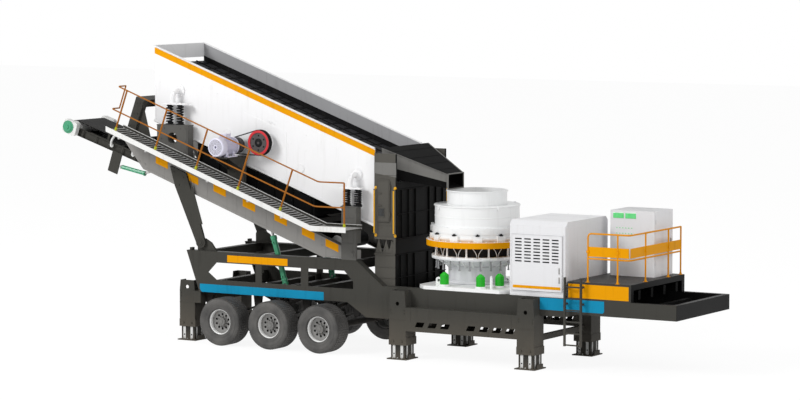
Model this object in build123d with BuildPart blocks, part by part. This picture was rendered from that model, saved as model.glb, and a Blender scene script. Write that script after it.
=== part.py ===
from build123d import *

import os
from math import cos, pi, radians, sin, tan

os.makedirs("parts", exist_ok=True)

# Driving dimensions in millimetres: x along the trailer towards its coupling, y across, z up from the ground

# Trailer side girders
frame_half_width = 1300
girder_depth = 200
girder_plate = 20
girder_rear_x = -4250
girder_foot_x = -3900
girder_joint_x = 5090
girder_slope_top_x = 335
girder_slope_foot_x = 1030
girder_bottom_z = 1165
girder_top_z = 2110
front_deck_z = 1570
skirt_start_x = 100
skirt_step_x = 600
skirt_z = 850
window_low_z = 1460
window_high_z = 1860
window_corner = 230
window_1_x = (-3650, -2350)
window_2_x = (-2180, -1125)
window_3_x = (-930, 260)

# Members across the trailer
cross_member_width = 150
cross_member_height = 200
cross_member_wall = 10
crossbeam_size = 120
crossbeam_z = 570
rear_beam_height = 265
rear_beam_end_x = -3880

# Beams that carry the crusher, and their cut-outs
subframe_reach = 250
subframe_outer_y = frame_half_width + subframe_reach
subframe_width = 400
subframe_bottom_z = 645
subframe_wall = 16
cutout_start_x = 2030
cutout_pitch = 323
cutout_length = 200
cutout_height = 110
cutout_z = 750
cutout_count = 8
cutout_skipped = 3

# Outriggers
leg_rear_x = -4320
leg_middle_x = 1560
leg_front_x = 4770
rear_leg_inset = 120
rear_leg_outer_y = frame_half_width - rear_leg_inset
sleeve_length = 420
sleeve_width = 440
sleeve_wall = 14
sleeve_bottom_z = 320
collar_height = 170
collar_lip = 12
leg_clearance = 16
guide_pad_width = 120
guide_pad_gap = 0.3
leg_wall = 14
leg_top_z = 900
foot_length = 500
foot_width = 520
foot_thickness = 25
foot_lug_height = 90
foot_lug_thickness = 20
bracket_height = 365
rear_bracket_height = 235
bracket_plate = 20
bracket_taper = 25
bracket_hole_radius = 45
bracket_hole_rise = 75

# Wheels, axles and suspension
wheel_pitch = 1325
middle_axle_x = -1772
tyre_radius = 550
tyre_width = 520
tyre_inner_y = 1180
tread_shoulder = 85
rim_radius = 285
rim_wall = 12
rim_clearance = 0.3
disc_thickness = 16
disc_recess = 90
disc_hole_radius = 22
disc_hole_circle = 165
disc_hole_count = 10
hub_radius = 95
hub_cap_length = 60
spindle_radius = 60
spindle_clearance = 0.5
axle_radius = 75
spring_seat_height = 90
leaf_width = 80
leaf_inner_y = 1015
leaf_thickness = 90
hanger_length = 110
hanger_drop = 330

# Gooseneck and coupler
gooseneck_step_x = (5600, 5900)
gooseneck_front_x = 8250
gooseneck_bottom_z = 1240
gooseneck_beam = 120
gooseneck_wall = 12
gooseneck_floor = 16
gooseneck_rib_x = (5950, 7300)
kingpin_x = 7750
kingpin_radius = 25.4
kingpin_length = 84
kingpin_head_radius = 36.5
kingpin_head_height = 25
coupler_length = 900
coupler_width = 1400
coupler_thickness = 12

# Front platform, railing and ladder
platform_rear_x = 5650
platform_front_x = 7170
platform_top_z = 1940
platform_plate = 20
platform_beam_height = 120
platform_post = 130
rail_radius = 19
rail_inset = 50
rail_height = 1050
rail_rear_x = 6120
rail_middle_x = 6830
rail_cross_y = (-510, 590)
banner_low = 560
banner_height = 210
banner_plate = 6
banner_gap = 45
ladder_x = 5850
ladder_width = 390
ladder_standoff = 120
ladder_y = frame_half_width + ladder_standoff
ladder_rail = (40, 50)
ladder_bottom_z = 560
ladder_rung_radius = 14
ladder_rung_count = 6
ladder_rung_pitch = 250

# Cabinets
generator_x = (4220, 5590)
generator_inset = 30
generator_width = 1990
generator_y = (-frame_half_width + generator_inset, -frame_half_width + generator_inset + generator_width)
generator_top_z = 3200
generator_bevel = 110
generator_wall = 30
generator_door_x = (4290, 5520)
generator_door_z = (1690, 2900)
generator_door_thickness = 25
door_gap = 5
hinge_radius = 9
hinge_length = 90
hinge_inset = 180
hinge_gap = 0.3
louvre_columns = 5
louvre_rows = 8
louvre_pitch = (225, 69)
louvre_size = (165, 30)
louvre_drop = 95
control_x = (5850, 6930)
control_y = (300, 1200)
control_top_z = 3370
control_corner = 20

# Cone crusher
crusher_x = 2700
base_plate_x = (1860, 4200)
base_plate_thickness = 80
base_plate_corner = 220
crusher_foot_radius = 560
crusher_foot_z = 1200
crusher_waist_radius = 640
crusher_waist_z = 2150
crusher_flange_radius = 1010
crusher_flange_z = 2200
crusher_flange_thickness = 60
crusher_wall = 60
ring_radius = 1131
ring_low_z = 2480
ring_height = 140
collar_ring_radius = 1050
collar_ring_height = 160
lock_block_count = 12
lock_block_size = 120
bowl_flange_radius = 1000
bowl_flange_height = 130
bowl_radius = 942
bowl_top_z = 3385
bowl_wall = 40
hopper_radius = 664
hopper_top_z = 3700
hopper_wall = 12
release_count = 12
release_radius = 48
release_circle = 945
accumulator_radius = 98
accumulator_height = 300
accumulator_pad_height = 35
accumulator_inset = 180
accumulator_y = -frame_half_width + accumulator_inset
accumulator_places = ((-190, accumulator_y), (720, accumulator_y), (990, -750))
lug_height = 190
lug_length = 140
lug_thickness = 30
lug_hole_radius = 35
lug_place_x = -330

# Chute between screen and crusher
chute_x = (690, 1270)
chute_side_gap = 10
chute_half_width = frame_half_width - girder_depth - chute_side_gap
chute_wall = 12
chute_low_z = 2590
chute_top_z = 4500
lower_box_x = (710, 1240)
lower_box_half_width = frame_half_width - girder_depth
lower_box_z = (1200, 2280)
tooth_width = 190
hood_x = (830, 2150)
hood_inset = 90
hood_rear_half_width = chute_half_width - hood_inset
hood_front_half_width = 320
hood_rear_z = (3960, 4620)
hood_front_z = (3720, 4030)
hood_wall = 10
seat_gap = 0.3
chute_door_x = (765, 1100)
chute_door_z = (2980, 3930)
chute_door_corner = 60
chute_door_thickness = 20
grab_bar_x = (728, 1230)
grab_bar_z = (2680, 3740)
grab_bar_radius = 14
grab_bar_reach = 75
grab_bar_bend = 40

# Vibrating screen
screen_slope = 20
screen_x = (-5320, 650)
screen_rise = 1910
screen_depth = 1760
screen_inset = 300
screen_half_width = frame_half_width - screen_inset
screen_plate = 14
screen_flange = 60
deck_drops = (420, 780)
deck_thickness = 40
tube_radius = 75
tube_stations = (500, 2000, 4000, 5500)
tube_drop = 1250
back_plate_height = 330
back_plate_thickness = 14
exciter_x = -2280
exciter_drop = 1043.53
exciter_tube_radius = 160
exciter_housing_radius = 225
exciter_housing_length = 60
exciter_shaft_radius = 50
shaft_clearance = 0.5
pulley_gap = 130
pulley_width = 140
pulley_y = (-screen_half_width - pulley_gap - pulley_width, -screen_half_width - pulley_gap)
exciter_pulley_radius = 283
motor_pulley_radius = 180
pulley_rim = 34
pulley_web = 30
pulley_boss_recess = 10
pulley_boss_share = 1.7
belt_inset = 20
belt_gap = 0.4
drive_belt_thickness = 14
motor_x = -2920
motor_drop = 80
motor_radius = 215
motor_gap = 80
motor_length = 700
motor_y = (pulley_y[0] - motor_gap - motor_length, pulley_y[0] - motor_gap)
motor_shaft_radius = 30
motor_foot_drop = 235
motor_foot_height = 30
motor_foot_inset = (120, 60)
motor_foot_share = 0.6
stand_x = (-3140, -2700)
stand_thickness = 110
stand_rib = 20
stand_rib_height = 300
stand_rib_inset = 100
shelf_thickness = 30
shelf_inset = 125
shelf_end_y = motor_y[0] + shelf_inset

# Springs between screen and frame
spring_inset = 120
spring_y = frame_half_width - spring_inset
spring_radius = 90
spring_core = 58
spring_turns = 5
spring_gap_share = 0.2
spring_spread = 290
rear_spring_x = -4635
rear_spring_length = 460
front_spring_x = 170
front_spring_length = 380
spring_plate = 30
spring_plate_length = 700
spring_plate_half_width = 105
arm_width = 150
arm_post_length = 140
arm_post_y = (-60, 20)
arm_flange_radius = 150
arm_flange_thickness = 30
arm_rise = 390
spring_box_length = 860
spring_box_height = 615.02
spring_box_inset = 10
spring_box_width = 220
spring_box_y = (-frame_half_width + spring_box_inset, -frame_half_width + spring_box_inset + spring_box_width)
spring_box_hole = 130

# Inclined frame under the screen
frame_side_gap = 60
frame_side_width = 180
frame_y = (-frame_half_width + frame_side_gap, -frame_half_width + frame_side_gap + frame_side_width)
frame_plate = 16
frame_rear_x = -6050
frame_rear_top_z = 4880
frame_step_x = -900
frame_step = 300
frame_front_x = 320
frame_nose_x = 150
frame_nose_z = 2330
frame_floor_z = 2130
frame_rear_depth = 290
frame_bottom_rear = (-5500, 3921)
frame_bottom_front_x = -575
frame_bar_stations = (-5700, -4100, -2300, -1050)
frame_bar_drop = 120
frame_bar_size = (100, 120)
hinge_pin = (250, 2230)
hinge_pin_radius = 40
portal_lean = 20
portal_height = 800
portal_width = 230
portal_x = -5850
portal_beam = 180
portal_gusset_length = 420
portal_gusset_share = 0.8
portal_gusset_inset = 60
portal_gusset_thickness = 20
column_x = (-50, 335)
column_inset = 10
column_width = 200
column_y = (-frame_half_width + column_inset, -frame_half_width + column_inset + column_width)
column_foot_thickness = 55
column_foot_y = (-frame_half_width, -frame_half_width + column_foot_thickness)
column_height = 1200
column_split_z = 2480
column_wall = 14
strut_pin = (-3860, 2301)
strut_eye_radius = 125
strut_pin_radius = 45
strut_top = ((-4080, 3370), (-4260, 3870), (-4700, 4030), (-4570, 3580))
strut_y = (-frame_half_width, frame_y[0])
strut_bracket_gap = 10
strut_bracket_thickness = 50
strut_bracket_y = (frame_y[0] + strut_bracket_gap, frame_y[0] + strut_bracket_gap + strut_bracket_thickness)
strut_bracket_share = 0.7
strut_bracket_length = 520
cylinder_inset = 300
cylinder_y = frame_half_width - cylinder_inset
cylinder_foot = (-1730, 1450)
cylinder_eye_radius = 65
cylinder_eye_width = 60
cylinder_head_x = -2270
barrel_radius = 65
rod_radius = 30
barrel_length = 1120

# Fines hopper under the screen
hopper_box_x = (-4100, -930)
hopper_side_gap = 30
hopper_half_width = -frame_y[1] - hopper_side_gap
hopper_plate = 12
hopper_seat_lap = 60
screen_gap = 30

# Belt conveyor
conveyor_slope = 18
conveyor_head = (-7950, 4790)
conveyor_length = 7700
drum_radius = 150
drum_half_length = 560
drum_shaft_radius = 40
belt_thickness = 12
belt_half_width = 550
channel_y = (600, 660)
channel_depth = (-150, 30)
channel_wall = 8
channel_overhang = 60
conveyor_tie_size = 60
conveyor_tie_stations = (1400, 3600, 5800)
conveyor_stub_stations = (4300, 5450, 6600)
conveyor_stub_radius = 45
guard_y = (670, 800)
guard_size = (390, 330)
guard_corner = 70
guard_stub_radius = 18

# Walkways beside the screen
walkway_width = 700
walkway_y = (frame_half_width, frame_half_width + walkway_width)
walkway_x = (-6010, -420)
walkway_top_z = frame_rear_top_z
walkway_level_x = 500
walkway_plate = 30
toe_board_height = 120
toe_board_plate = 10
walkway_arm_size = 60
walkway_arm_x = (-5650, -4900, -3200, -2100, -1200)
post_radius = 21
post_inset = 35
post_height = 1040
mid_rail_height = 490
post_stations = (230, 1340, 2460, 3600, 4740)
last_post_inset = 60
rail_overhang = 250
rail_return = 300
rail_bend_shift = 0.18
rail_share = 0.8

# Bent tubes are drawn with flat sides, each run lapping past its bends by a share of the radius
tube_sides = 8
bend_lap = 0.6

# Derived places
screen_top_z = frame_rear_top_z + screen_rise
stand_y = (frame_y[0], frame_y[0] + stand_thickness)
slope_rise = tan(radians(screen_slope))
near_face_y = -frame_half_width
web_inner_y = frame_half_width - girder_plate
axle_places_x = (middle_axle_x - wheel_pitch, middle_axle_x, middle_axle_x + wheel_pitch)
conveyor_cos = cos(radians(conveyor_slope))
conveyor_sin = sin(radians(conveyor_slope))
conveyor_plane = Plane(
    origin=(conveyor_head[0], 0, conveyor_head[1]),
    x_dir=(conveyor_cos, 0, -conveyor_sin),
    z_dir=(0, -1, 0),
)


def frame_top(x):
    """Height of the inclined frame's upper edge at x."""
    return frame_rear_top_z - (x - frame_rear_x) * slope_rise


def screen_top(x):
    """Height of the screen plates' upper edge at x."""
    return screen_top_z - (x - screen_x[0]) * slope_rise


def walkway_top(x):
    """Height of the sloping walkway's deck at x."""
    return walkway_top_z - (x - walkway_x[0]) * slope_rise


# Places that follow the slopes
exciter_z = screen_top(exciter_x) - exciter_drop
motor_z = exciter_z - motor_drop
rear_spring_foot_z = frame_top(rear_spring_x) + spring_box_height
rear_spring_z = (rear_spring_foot_z, rear_spring_foot_z + rear_spring_length)
front_spring_z = (girder_top_z + column_height, girder_top_z + column_height + front_spring_length)


def block(x, y, z, mode=Mode.ADD):
    """Add a box between two x, two y and two z values."""
    with Locations(((x[0] + x[1]) / 2, (y[0] + y[1]) / 2, (z[0] + z[1]) / 2)):
        Box(abs(x[1] - x[0]), abs(y[1] - y[0]), abs(z[1] - z[0]), mode=mode)


def plate(outline, y, mode=Mode.ADD):
    """Add an outline of (x, z) points, extruded between two y values."""
    with BuildSketch(Plane.XZ.offset(-y[1])) as face:
        with BuildLine():
            Polyline(*outline, close=True)
        make_face()
    extrude(face.sketch, amount=y[1] - y[0], mode=mode)


def pan(outline, face_y, back_y, wall):
    """Add a web at face_y with a rim of the same outline reaching back to back_y."""
    plate(outline, (face_y, back_y))
    with BuildSketch(Plane.XZ.offset(-back_y)) as hollow:
        with BuildLine():
            Polyline(*outline, close=True)
        make_face()
        offset(amount=-wall, kind=Kind.INTERSECTION, mode=Mode.REPLACE)
    extrude(hollow.sketch, amount=back_y - face_y - wall, mode=Mode.SUBTRACT)


def pin(x, z, y, radius, mode=Mode.ADD):
    """Add a round bar across the trailer, centred at x and z, between two y values."""
    with BuildSketch(Plane.XZ.offset(-y[1])) as section:
        with Locations((x, z)):
            Circle(radius)
    extrude(section.sketch, amount=y[1] - y[0], mode=mode)


def round_bar(start, end, radius):
    """Add a round bar between two points."""
    along = Vector(end) - Vector(start)
    with BuildSketch(Plane(origin=start, z_dir=along)) as section:
        Circle(radius)
    extrude(section.sketch, amount=along.length)


def tube_run(points, radius):
    """Add eight-sided bars through a row of points, each run lapping past the bends at its ends."""
    last = len(points) - 2
    for index, (start, end) in enumerate(zip(points, points[1:])):
        along = Vector(end) - Vector(start)
        step = along.normalized() * radius * bend_lap
        low = Vector(start) - step if index > 0 else Vector(start)
        high = Vector(end) + step if index < last else Vector(end)
        with BuildSketch(Plane(origin=low, z_dir=along)) as section:
            RegularPolygon(radius, tube_sides)
        extrude(section.sketch, amount=(high - low).length)


def ring(x, y, z, outer, inner=0.0, mode=Mode.ADD):
    """Add an upright disc or ring centred at x and y between two z values."""
    with BuildSketch(Plane.XY.offset(z[0])) as section:
        with Locations((x, y)):
            Circle(outer)
            if inner > 0:
                Circle(inner, mode=Mode.SUBTRACT)
    extrude(section.sketch, amount=z[1] - z[0], mode=mode)


def save(builder, label):
    """Label a finished piece and write it to its own file."""
    builder.part.label = label
    export_step(builder.part, f"parts/{label}.step")


# Side girders: welded plates with a rim all round and three windows over the wheels
sleeve_half = sleeve_length / 2
girder_outline = [
    (girder_foot_x, girder_bottom_z),
    (skirt_start_x, girder_bottom_z),
    (skirt_step_x, skirt_z),
    (leg_middle_x - sleeve_half, skirt_z),
    (leg_middle_x - sleeve_half, girder_bottom_z),
    (girder_joint_x, girder_bottom_z),
    (girder_joint_x, front_deck_z),
    (girder_slope_foot_x, front_deck_z),
    (girder_slope_top_x, girder_top_z),
    (girder_rear_x, girder_top_z),
]
window_outlines = [
    [
        (window_1_x[0] + window_corner, window_high_z),
        (window_1_x[0], window_high_z - window_corner),
        (window_1_x[0] + window_corner, window_low_z),
        (window_1_x[1], window_low_z),
        (window_1_x[1], window_high_z),
    ],
    [
        (window_2_x[0], window_high_z),
        (window_2_x[0], window_low_z),
        (window_2_x[1], window_low_z),
        (window_2_x[1], window_high_z),
    ],
    [
        (window_3_x[0], window_high_z),
        (window_3_x[0], window_low_z),
        (window_3_x[1], window_low_z),
        (window_3_x[1], window_high_z - window_corner),
        (window_3_x[1] - window_corner, window_high_z),
    ],
]
with BuildPart() as side_girder_near:
    pan(girder_outline, near_face_y, near_face_y + girder_depth, girder_plate)
    for window in window_outlines:
        plate(window, (near_face_y, near_face_y + girder_plate), Mode.SUBTRACT)
save(side_girder_near, "side_girder_near")

with BuildPart() as side_girder_far:
    mirror(side_girder_near.part, about=Plane.XZ)
save(side_girder_far, "side_girder_far")

# Cross members: box tubes between the girders' webs, tubes between the outrigger sleeves and a deep rear beam
low_member_z = girder_bottom_z + girder_plate
high_member_z = girder_top_z - girder_plate
hanger_places_x = [axle_places_x[0] - wheel_pitch / 2 + i * wheel_pitch for i in range(4)]
low_member_places = [*hanger_places_x, cylinder_foot[0], lower_box_x[1] + 160, base_plate_x[1] + 100]
high_member_places = (
    girder_rear_x + 330,
    (window_1_x[1] + window_2_x[0]) / 2,
    window_3_x[1] - cross_member_width / 2,
)
sleeve_inner_y = subframe_outer_y - sleeve_width
with BuildPart() as cross_members:
    for x in low_member_places:
        half = cross_member_width / 2
        low_z = (low_member_z, low_member_z + cross_member_height)
        block((x - half, x + half), (-web_inner_y, web_inner_y), low_z)
        inner_z = (low_z[0] + cross_member_wall, low_z[1] - cross_member_wall)
        inner_half = half - cross_member_wall
        block((x - inner_half, x + inner_half), (-web_inner_y, web_inner_y), inner_z, Mode.SUBTRACT)
    for x in high_member_places:
        half = cross_member_width / 2
        block((x - half, x + half), (-web_inner_y, web_inner_y), (high_member_z - cross_member_height, high_member_z))
        inner_half = half - cross_member_wall
        inner_z = (high_member_z - cross_member_height + cross_member_wall, high_member_z - cross_member_wall)
        block((x - inner_half, x + inner_half), (-web_inner_y, web_inner_y), inner_z, Mode.SUBTRACT)
    for x in (leg_middle_x, leg_front_x):
        block(
            (x - crossbeam_size / 2, x + crossbeam_size / 2),
            (-sleeve_inner_y, sleeve_inner_y),
            (crossbeam_z, crossbeam_z + crossbeam_size),
        )
    block(
        (leg_rear_x + sleeve_half, rear_beam_end_x),
        (-web_inner_y, web_inner_y),
        (girder_bottom_z - rear_beam_height, girder_bottom_z),
    )
save(cross_members, "cross_members")

# Crusher subframe: a box beam on each side between the middle and front outriggers, with a row of cut-outs
beam_x = (leg_middle_x + sleeve_half, leg_front_x - sleeve_half)
beam_y = (-subframe_outer_y, -subframe_outer_y + subframe_width)
with BuildPart() as crusher_subframe:
    block(beam_x, beam_y, (subframe_bottom_z, girder_bottom_z))
    block(
        beam_x,
        (beam_y[0] + subframe_wall, beam_y[1] - subframe_wall),
        (subframe_bottom_z + subframe_wall, girder_bottom_z - subframe_wall),
        Mode.SUBTRACT,
    )
    for index in range(cutout_count):
        if index == cutout_skipped:
            continue
        start_x = cutout_start_x + index * cutout_pitch
        lean = cutout_height / 4
        outline = [
            (start_x - lean, cutout_z),
            (start_x + cutout_length - lean, cutout_z),
            (start_x + cutout_length + lean, cutout_z + cutout_height),
            (start_x + lean, cutout_z + cutout_height),
        ]
        plate(outline, beam_y, Mode.SUBTRACT)
    mirror(about=Plane.XZ)
save(crusher_subframe, "crusher_subframe")


def sleeve(x, outer_y, height):
    """Add a square outrigger sleeve with a collar below and a drilled bracket above."""
    y = (-outer_y, -outer_y + sleeve_width)
    x_range = (x - sleeve_half, x + sleeve_half)
    block(x_range, y, (sleeve_bottom_z, girder_bottom_z))
    block(
        (x_range[0] - collar_lip, x_range[1] + collar_lip),
        (y[0], y[1] + collar_lip),
        (sleeve_bottom_z, sleeve_bottom_z + collar_height),
    )
    top_z = girder_bottom_z + height
    outline = [
        (x_range[0], girder_bottom_z),
        (x_range[1], girder_bottom_z),
        (x_range[1] - bracket_taper, top_z),
        (x_range[0] + bracket_taper, top_z),
    ]
    reach_y = -frame_half_width if outer_y > frame_half_width else y[0] + girder_depth
    plate(outline, (y[0], reach_y))
    inner = [
        (x_range[0] + bracket_plate, girder_bottom_z),
        (x_range[1] - bracket_plate, girder_bottom_z),
        (x_range[1] - bracket_taper - bracket_plate, top_z),
        (x_range[0] + bracket_taper + bracket_plate, top_z),
    ]
    plate(inner, (y[0] + bracket_plate, reach_y), Mode.SUBTRACT)
    pin(x, girder_bottom_z + bracket_hole_rise, (y[0], y[0] + bracket_plate), bracket_hole_radius, Mode.SUBTRACT)
    block(
        (x_range[0] + sleeve_wall, x_range[1] - sleeve_wall),
        (y[0] + sleeve_wall, y[1] - sleeve_wall),
        (sleeve_bottom_z, girder_bottom_z),
        Mode.SUBTRACT,
    )
    pad = leg_clearance - guide_pad_gap
    half = guide_pad_width / 2
    middle_y = (y[0] + y[1]) / 2
    pad_z = (sleeve_bottom_z, sleeve_bottom_z + collar_height)
    inner_x = (x_range[0] + sleeve_wall, x_range[1] - sleeve_wall)
    inner_y = (y[0] + sleeve_wall, y[1] - sleeve_wall)
    block((inner_x[0], inner_x[0] + pad), (middle_y - half, middle_y + half), pad_z)
    block((inner_x[1] - pad, inner_x[1]), (middle_y - half, middle_y + half), pad_z)
    block((x - half, x + half), (inner_y[0], inner_y[0] + pad), pad_z)
    block((x - half, x + half), (inner_y[1] - pad, inner_y[1]), pad_z)


# Outrigger sleeves: six square tubes that the legs slide in
leg_places = {
    "rear": (leg_rear_x, rear_leg_outer_y, rear_bracket_height),
    "middle": (leg_middle_x, subframe_outer_y, bracket_height),
    "front": (leg_front_x, subframe_outer_y, bracket_height),
}
with BuildPart() as outrigger_sleeves:
    for x, outer_y, height in leg_places.values():
        sleeve(x, outer_y, height)
    mirror(about=Plane.XZ)
save(outrigger_sleeves, "outrigger_sleeves")


def leg(x, centre_y):
    """Make one sliding leg: a square tube on a foot plate with a lug at its end."""
    length = sleeve_length - 2 * sleeve_wall - 2 * leg_clearance
    width = sleeve_width - 2 * sleeve_wall - 2 * leg_clearance
    with BuildPart() as tube:
        block(
            (x - length / 2, x + length / 2),
            (centre_y - width / 2, centre_y + width / 2),
            (foot_thickness, leg_top_z),
        )
        block(
            (x - length / 2 + leg_wall, x + length / 2 - leg_wall),
            (centre_y - width / 2 + leg_wall, centre_y + width / 2 - leg_wall),
            (foot_thickness, leg_top_z),
            Mode.SUBTRACT,
        )
        block(
            (x - foot_length / 2, x + foot_length / 2),
            (centre_y - foot_width / 2, centre_y + foot_width / 2),
            (0, foot_thickness),
        )
        block(
            (x + foot_length / 2 - foot_lug_thickness, x + foot_length / 2),
            (centre_y - foot_width / 4, centre_y + foot_width / 4),
            (foot_thickness, foot_thickness + foot_lug_height),
        )
    return tube


# Outrigger legs: one in each sleeve, with its foot on the ground
for place, (x, outer_y, height) in leg_places.items():
    centre_y = outer_y - sleeve_width / 2
    save(leg(x, -centre_y), f"leg_{place}_near")
    save(leg(x, centre_y), f"leg_{place}_far")


def hinge_places(z):
    """Low ends of the two hinges along an upright edge."""
    return [middle - hinge_length / 2 for middle in (z[0] + hinge_inset, z[1] - hinge_inset)]


def hinge_leaves(x, y, z, face_y, side):
    """Add the fixed knuckles of two hinges, joined to the housing's face behind them."""
    third = hinge_length / 3
    for low in hinge_places(z):
        for leaf_z in ((low, low + third - hinge_gap), (low + third * 2 + hinge_gap, low + hinge_length)):
            ring(x, y, leaf_z, hinge_radius)
            block(sorted((x - side * hinge_radius, x)), (y, face_y), leaf_z)


def hinge_knuckles(x, y, z, edge_x):
    """Add the door's knuckles between the fixed ones, joined to the door's edge."""
    third = hinge_length / 3
    for low in hinge_places(z):
        ring(x, y, (low + third, low + third * 2), hinge_radius)
        block(sorted((x, edge_x)), (y, y + hinge_radius), (low + third, low + third * 2))


def turned(outline, x, side):
    """Make a wheel piece by turning an outline of (radius, distance from the inner face) round its axle."""
    with BuildPart() as piece:
        with BuildSketch(Plane.YZ.offset(x)):
            with BuildLine():
                Polyline(*[(side * (tyre_inner_y + away), tyre_radius + r) for r, away in outline], close=True)
            make_face()
        revolve(axis=Axis((x, 0, tyre_radius), (0, 1, 0)))
    return piece


def tyre(x, side):
    """Make one wide tyre with rounded shoulders."""
    bead = rim_radius + rim_clearance
    outline = [
        (bead, tyre_width * 0.17),
        (bead + 40, tyre_width * 0.07),
        (bead + 120, 0),
        (tyre_radius - tread_shoulder, tyre_width * 0.03),
        (tyre_radius - tread_shoulder * 0.3, tyre_width * 0.1),
        (tyre_radius, tyre_width * 0.22),
        (tyre_radius, tyre_width * 0.78),
        (tyre_radius - tread_shoulder * 0.3, tyre_width * 0.9),
        (tyre_radius - tread_shoulder, tyre_width * 0.97),
        (bead + 120, tyre_width),
        (bead + 40, tyre_width * 0.93),
        (bead, tyre_width * 0.83),
    ]
    return turned(outline, x, side)


def rim(x, side):
    """Make one rim: a barrel with lips, a recessed drilled disc and a hub."""
    lip_low = tyre_width * 0.15
    lip_high = tyre_width * 0.85
    disc_outer = lip_high - disc_recess
    disc_inner = disc_outer - disc_thickness
    bore = spindle_radius + spindle_clearance
    outline = [
        (rim_radius - rim_wall, lip_low),
        (rim_radius, lip_low),
        (rim_radius, lip_high),
        (rim_radius - rim_wall, lip_high),
        (rim_radius - rim_wall, disc_outer),
        (hub_radius, disc_outer),
        (hub_radius, disc_outer + hub_cap_length),
        (0, disc_outer + hub_cap_length),
        (0, disc_outer),
        (bore, disc_outer),
        (bore, lip_low),
        (hub_radius, lip_low),
        (hub_radius, disc_inner),
        (rim_radius - rim_wall, disc_inner),
    ]
    piece = turned(outline, x, side)
    with piece:
        hole_y = sorted((side * (tyre_inner_y + disc_inner), side * (tyre_inner_y + disc_outer)))
        for index in range(disc_hole_count):
            angle = 2 * pi * index / disc_hole_count
            hole_x = x + disc_hole_circle * sin(angle)
            hole_z = tyre_radius + disc_hole_circle * cos(angle)
            pin(hole_x, hole_z, hole_y, disc_hole_radius, Mode.SUBTRACT)
    return piece


# Wheels: three axles with one wide tyre at each end
for index, x in enumerate(axle_places_x, start=1):
    for side, name in ((-1, "near"), (1, "far")):
        save(tyre(x, side), f"tyre_{index}_{name}")
        save(rim(x, side), f"rim_{index}_{name}")

# Axles: tubes with a spindle at each end, under leaf packs hung from brackets on the cross members
spindle_end = tyre_inner_y + tyre_width * 0.85 - disc_recess - spindle_clearance
leaf_y = (leaf_inner_y, leaf_inner_y + leaf_width)
with BuildPart() as axles:
    for x in axle_places_x:
        pin(x, tyre_radius, (-tyre_inner_y, tyre_inner_y), axle_radius)
        pin(x, tyre_radius, (-spindle_end, spindle_end), spindle_radius)
        for side in (-1, 1):
            seat_y = sorted((side * leaf_y[0], side * leaf_y[1]))
            block((x - axle_radius, x + axle_radius), seat_y, (tyre_radius, tyre_radius + spring_seat_height))
    for x in hanger_places_x:
        half = hanger_length * 0.6
        outline = [
            (x - hanger_length, low_member_z),
            (x + hanger_length, low_member_z),
            (x + half, girder_bottom_z - hanger_drop),
            (x - half, girder_bottom_z - hanger_drop),
        ]
        plate(outline, (-leaf_y[1], -leaf_y[0]))
    seat_z = tyre_radius + spring_seat_height
    end_z = girder_bottom_z - hanger_drop + leaf_thickness
    for index, x in enumerate(axle_places_x):
        outline = [
            (hanger_places_x[index], end_z - leaf_thickness / 3),
            (x - axle_radius, seat_z),
            (x + axle_radius, seat_z),
            (hanger_places_x[index + 1], end_z - leaf_thickness / 3),
            (hanger_places_x[index + 1], end_z),
            (x + axle_radius, seat_z + leaf_thickness),
            (x - axle_radius, seat_z + leaf_thickness),
            (hanger_places_x[index], end_z),
        ]
        plate(outline, (-leaf_y[1], -leaf_y[0]))
    mirror(about=Plane.XZ)
save(axles, "axles")

# Gooseneck: two side beams joined by a front beam, a floor and ribs, with a coupler plate and kingpin below
neck_outline = [
    (girder_joint_x, girder_bottom_z),
    (gooseneck_step_x[0], girder_bottom_z),
    (gooseneck_step_x[1], gooseneck_bottom_z),
    (gooseneck_front_x, gooseneck_bottom_z),
    (gooseneck_front_x, front_deck_z),
    (girder_joint_x, front_deck_z),
]
neck_inner_y = frame_half_width - gooseneck_beam
rib_z = (gooseneck_bottom_z + gooseneck_floor, front_deck_z - gooseneck_beam)
coupler_z = (gooseneck_bottom_z - coupler_thickness, gooseneck_bottom_z)
with BuildPart() as gooseneck:
    for side in (-1, 1):
        plate(neck_outline, sorted((side * neck_inner_y, side * frame_half_width)))
    block(
        (gooseneck_front_x - gooseneck_beam, gooseneck_front_x),
        (-neck_inner_y, neck_inner_y),
        (gooseneck_bottom_z, front_deck_z),
    )
    block(
        (gooseneck_step_x[1], gooseneck_front_x - gooseneck_beam),
        (-neck_inner_y, neck_inner_y),
        (gooseneck_bottom_z, gooseneck_bottom_z + gooseneck_floor),
    )
    for x in gooseneck_rib_x:
        block((x, x + gooseneck_beam), (-neck_inner_y, neck_inner_y), rib_z)
    block(
        (kingpin_x - coupler_length / 2, kingpin_x + coupler_length / 2),
        (-coupler_width / 2, coupler_width / 2),
        coupler_z,
    )
    pin_low_z = coupler_z[0] - kingpin_length
    ring(kingpin_x, 0, (pin_low_z, coupler_z[0]), kingpin_radius)
    ring(kingpin_x, 0, (pin_low_z, pin_low_z + kingpin_head_height), kingpin_head_radius)
save(gooseneck, "gooseneck")

# Front platform: a plate on side skirts, with a framed opening at its front end
with BuildPart() as platform:
    block((platform_rear_x, platform_front_x), (-frame_half_width, frame_half_width), (front_deck_z, platform_top_z))
    block(
        (platform_rear_x, platform_front_x - platform_plate),
        (-frame_half_width + platform_plate, frame_half_width - platform_plate),
        (front_deck_z, platform_top_z - platform_plate),
        Mode.SUBTRACT,
    )
    block(
        (platform_front_x - platform_plate, platform_front_x),
        (-frame_half_width + platform_post, frame_half_width - platform_post),
        (front_deck_z, platform_top_z - platform_beam_height),
        Mode.SUBTRACT,
    )
save(platform, "platform")

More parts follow.
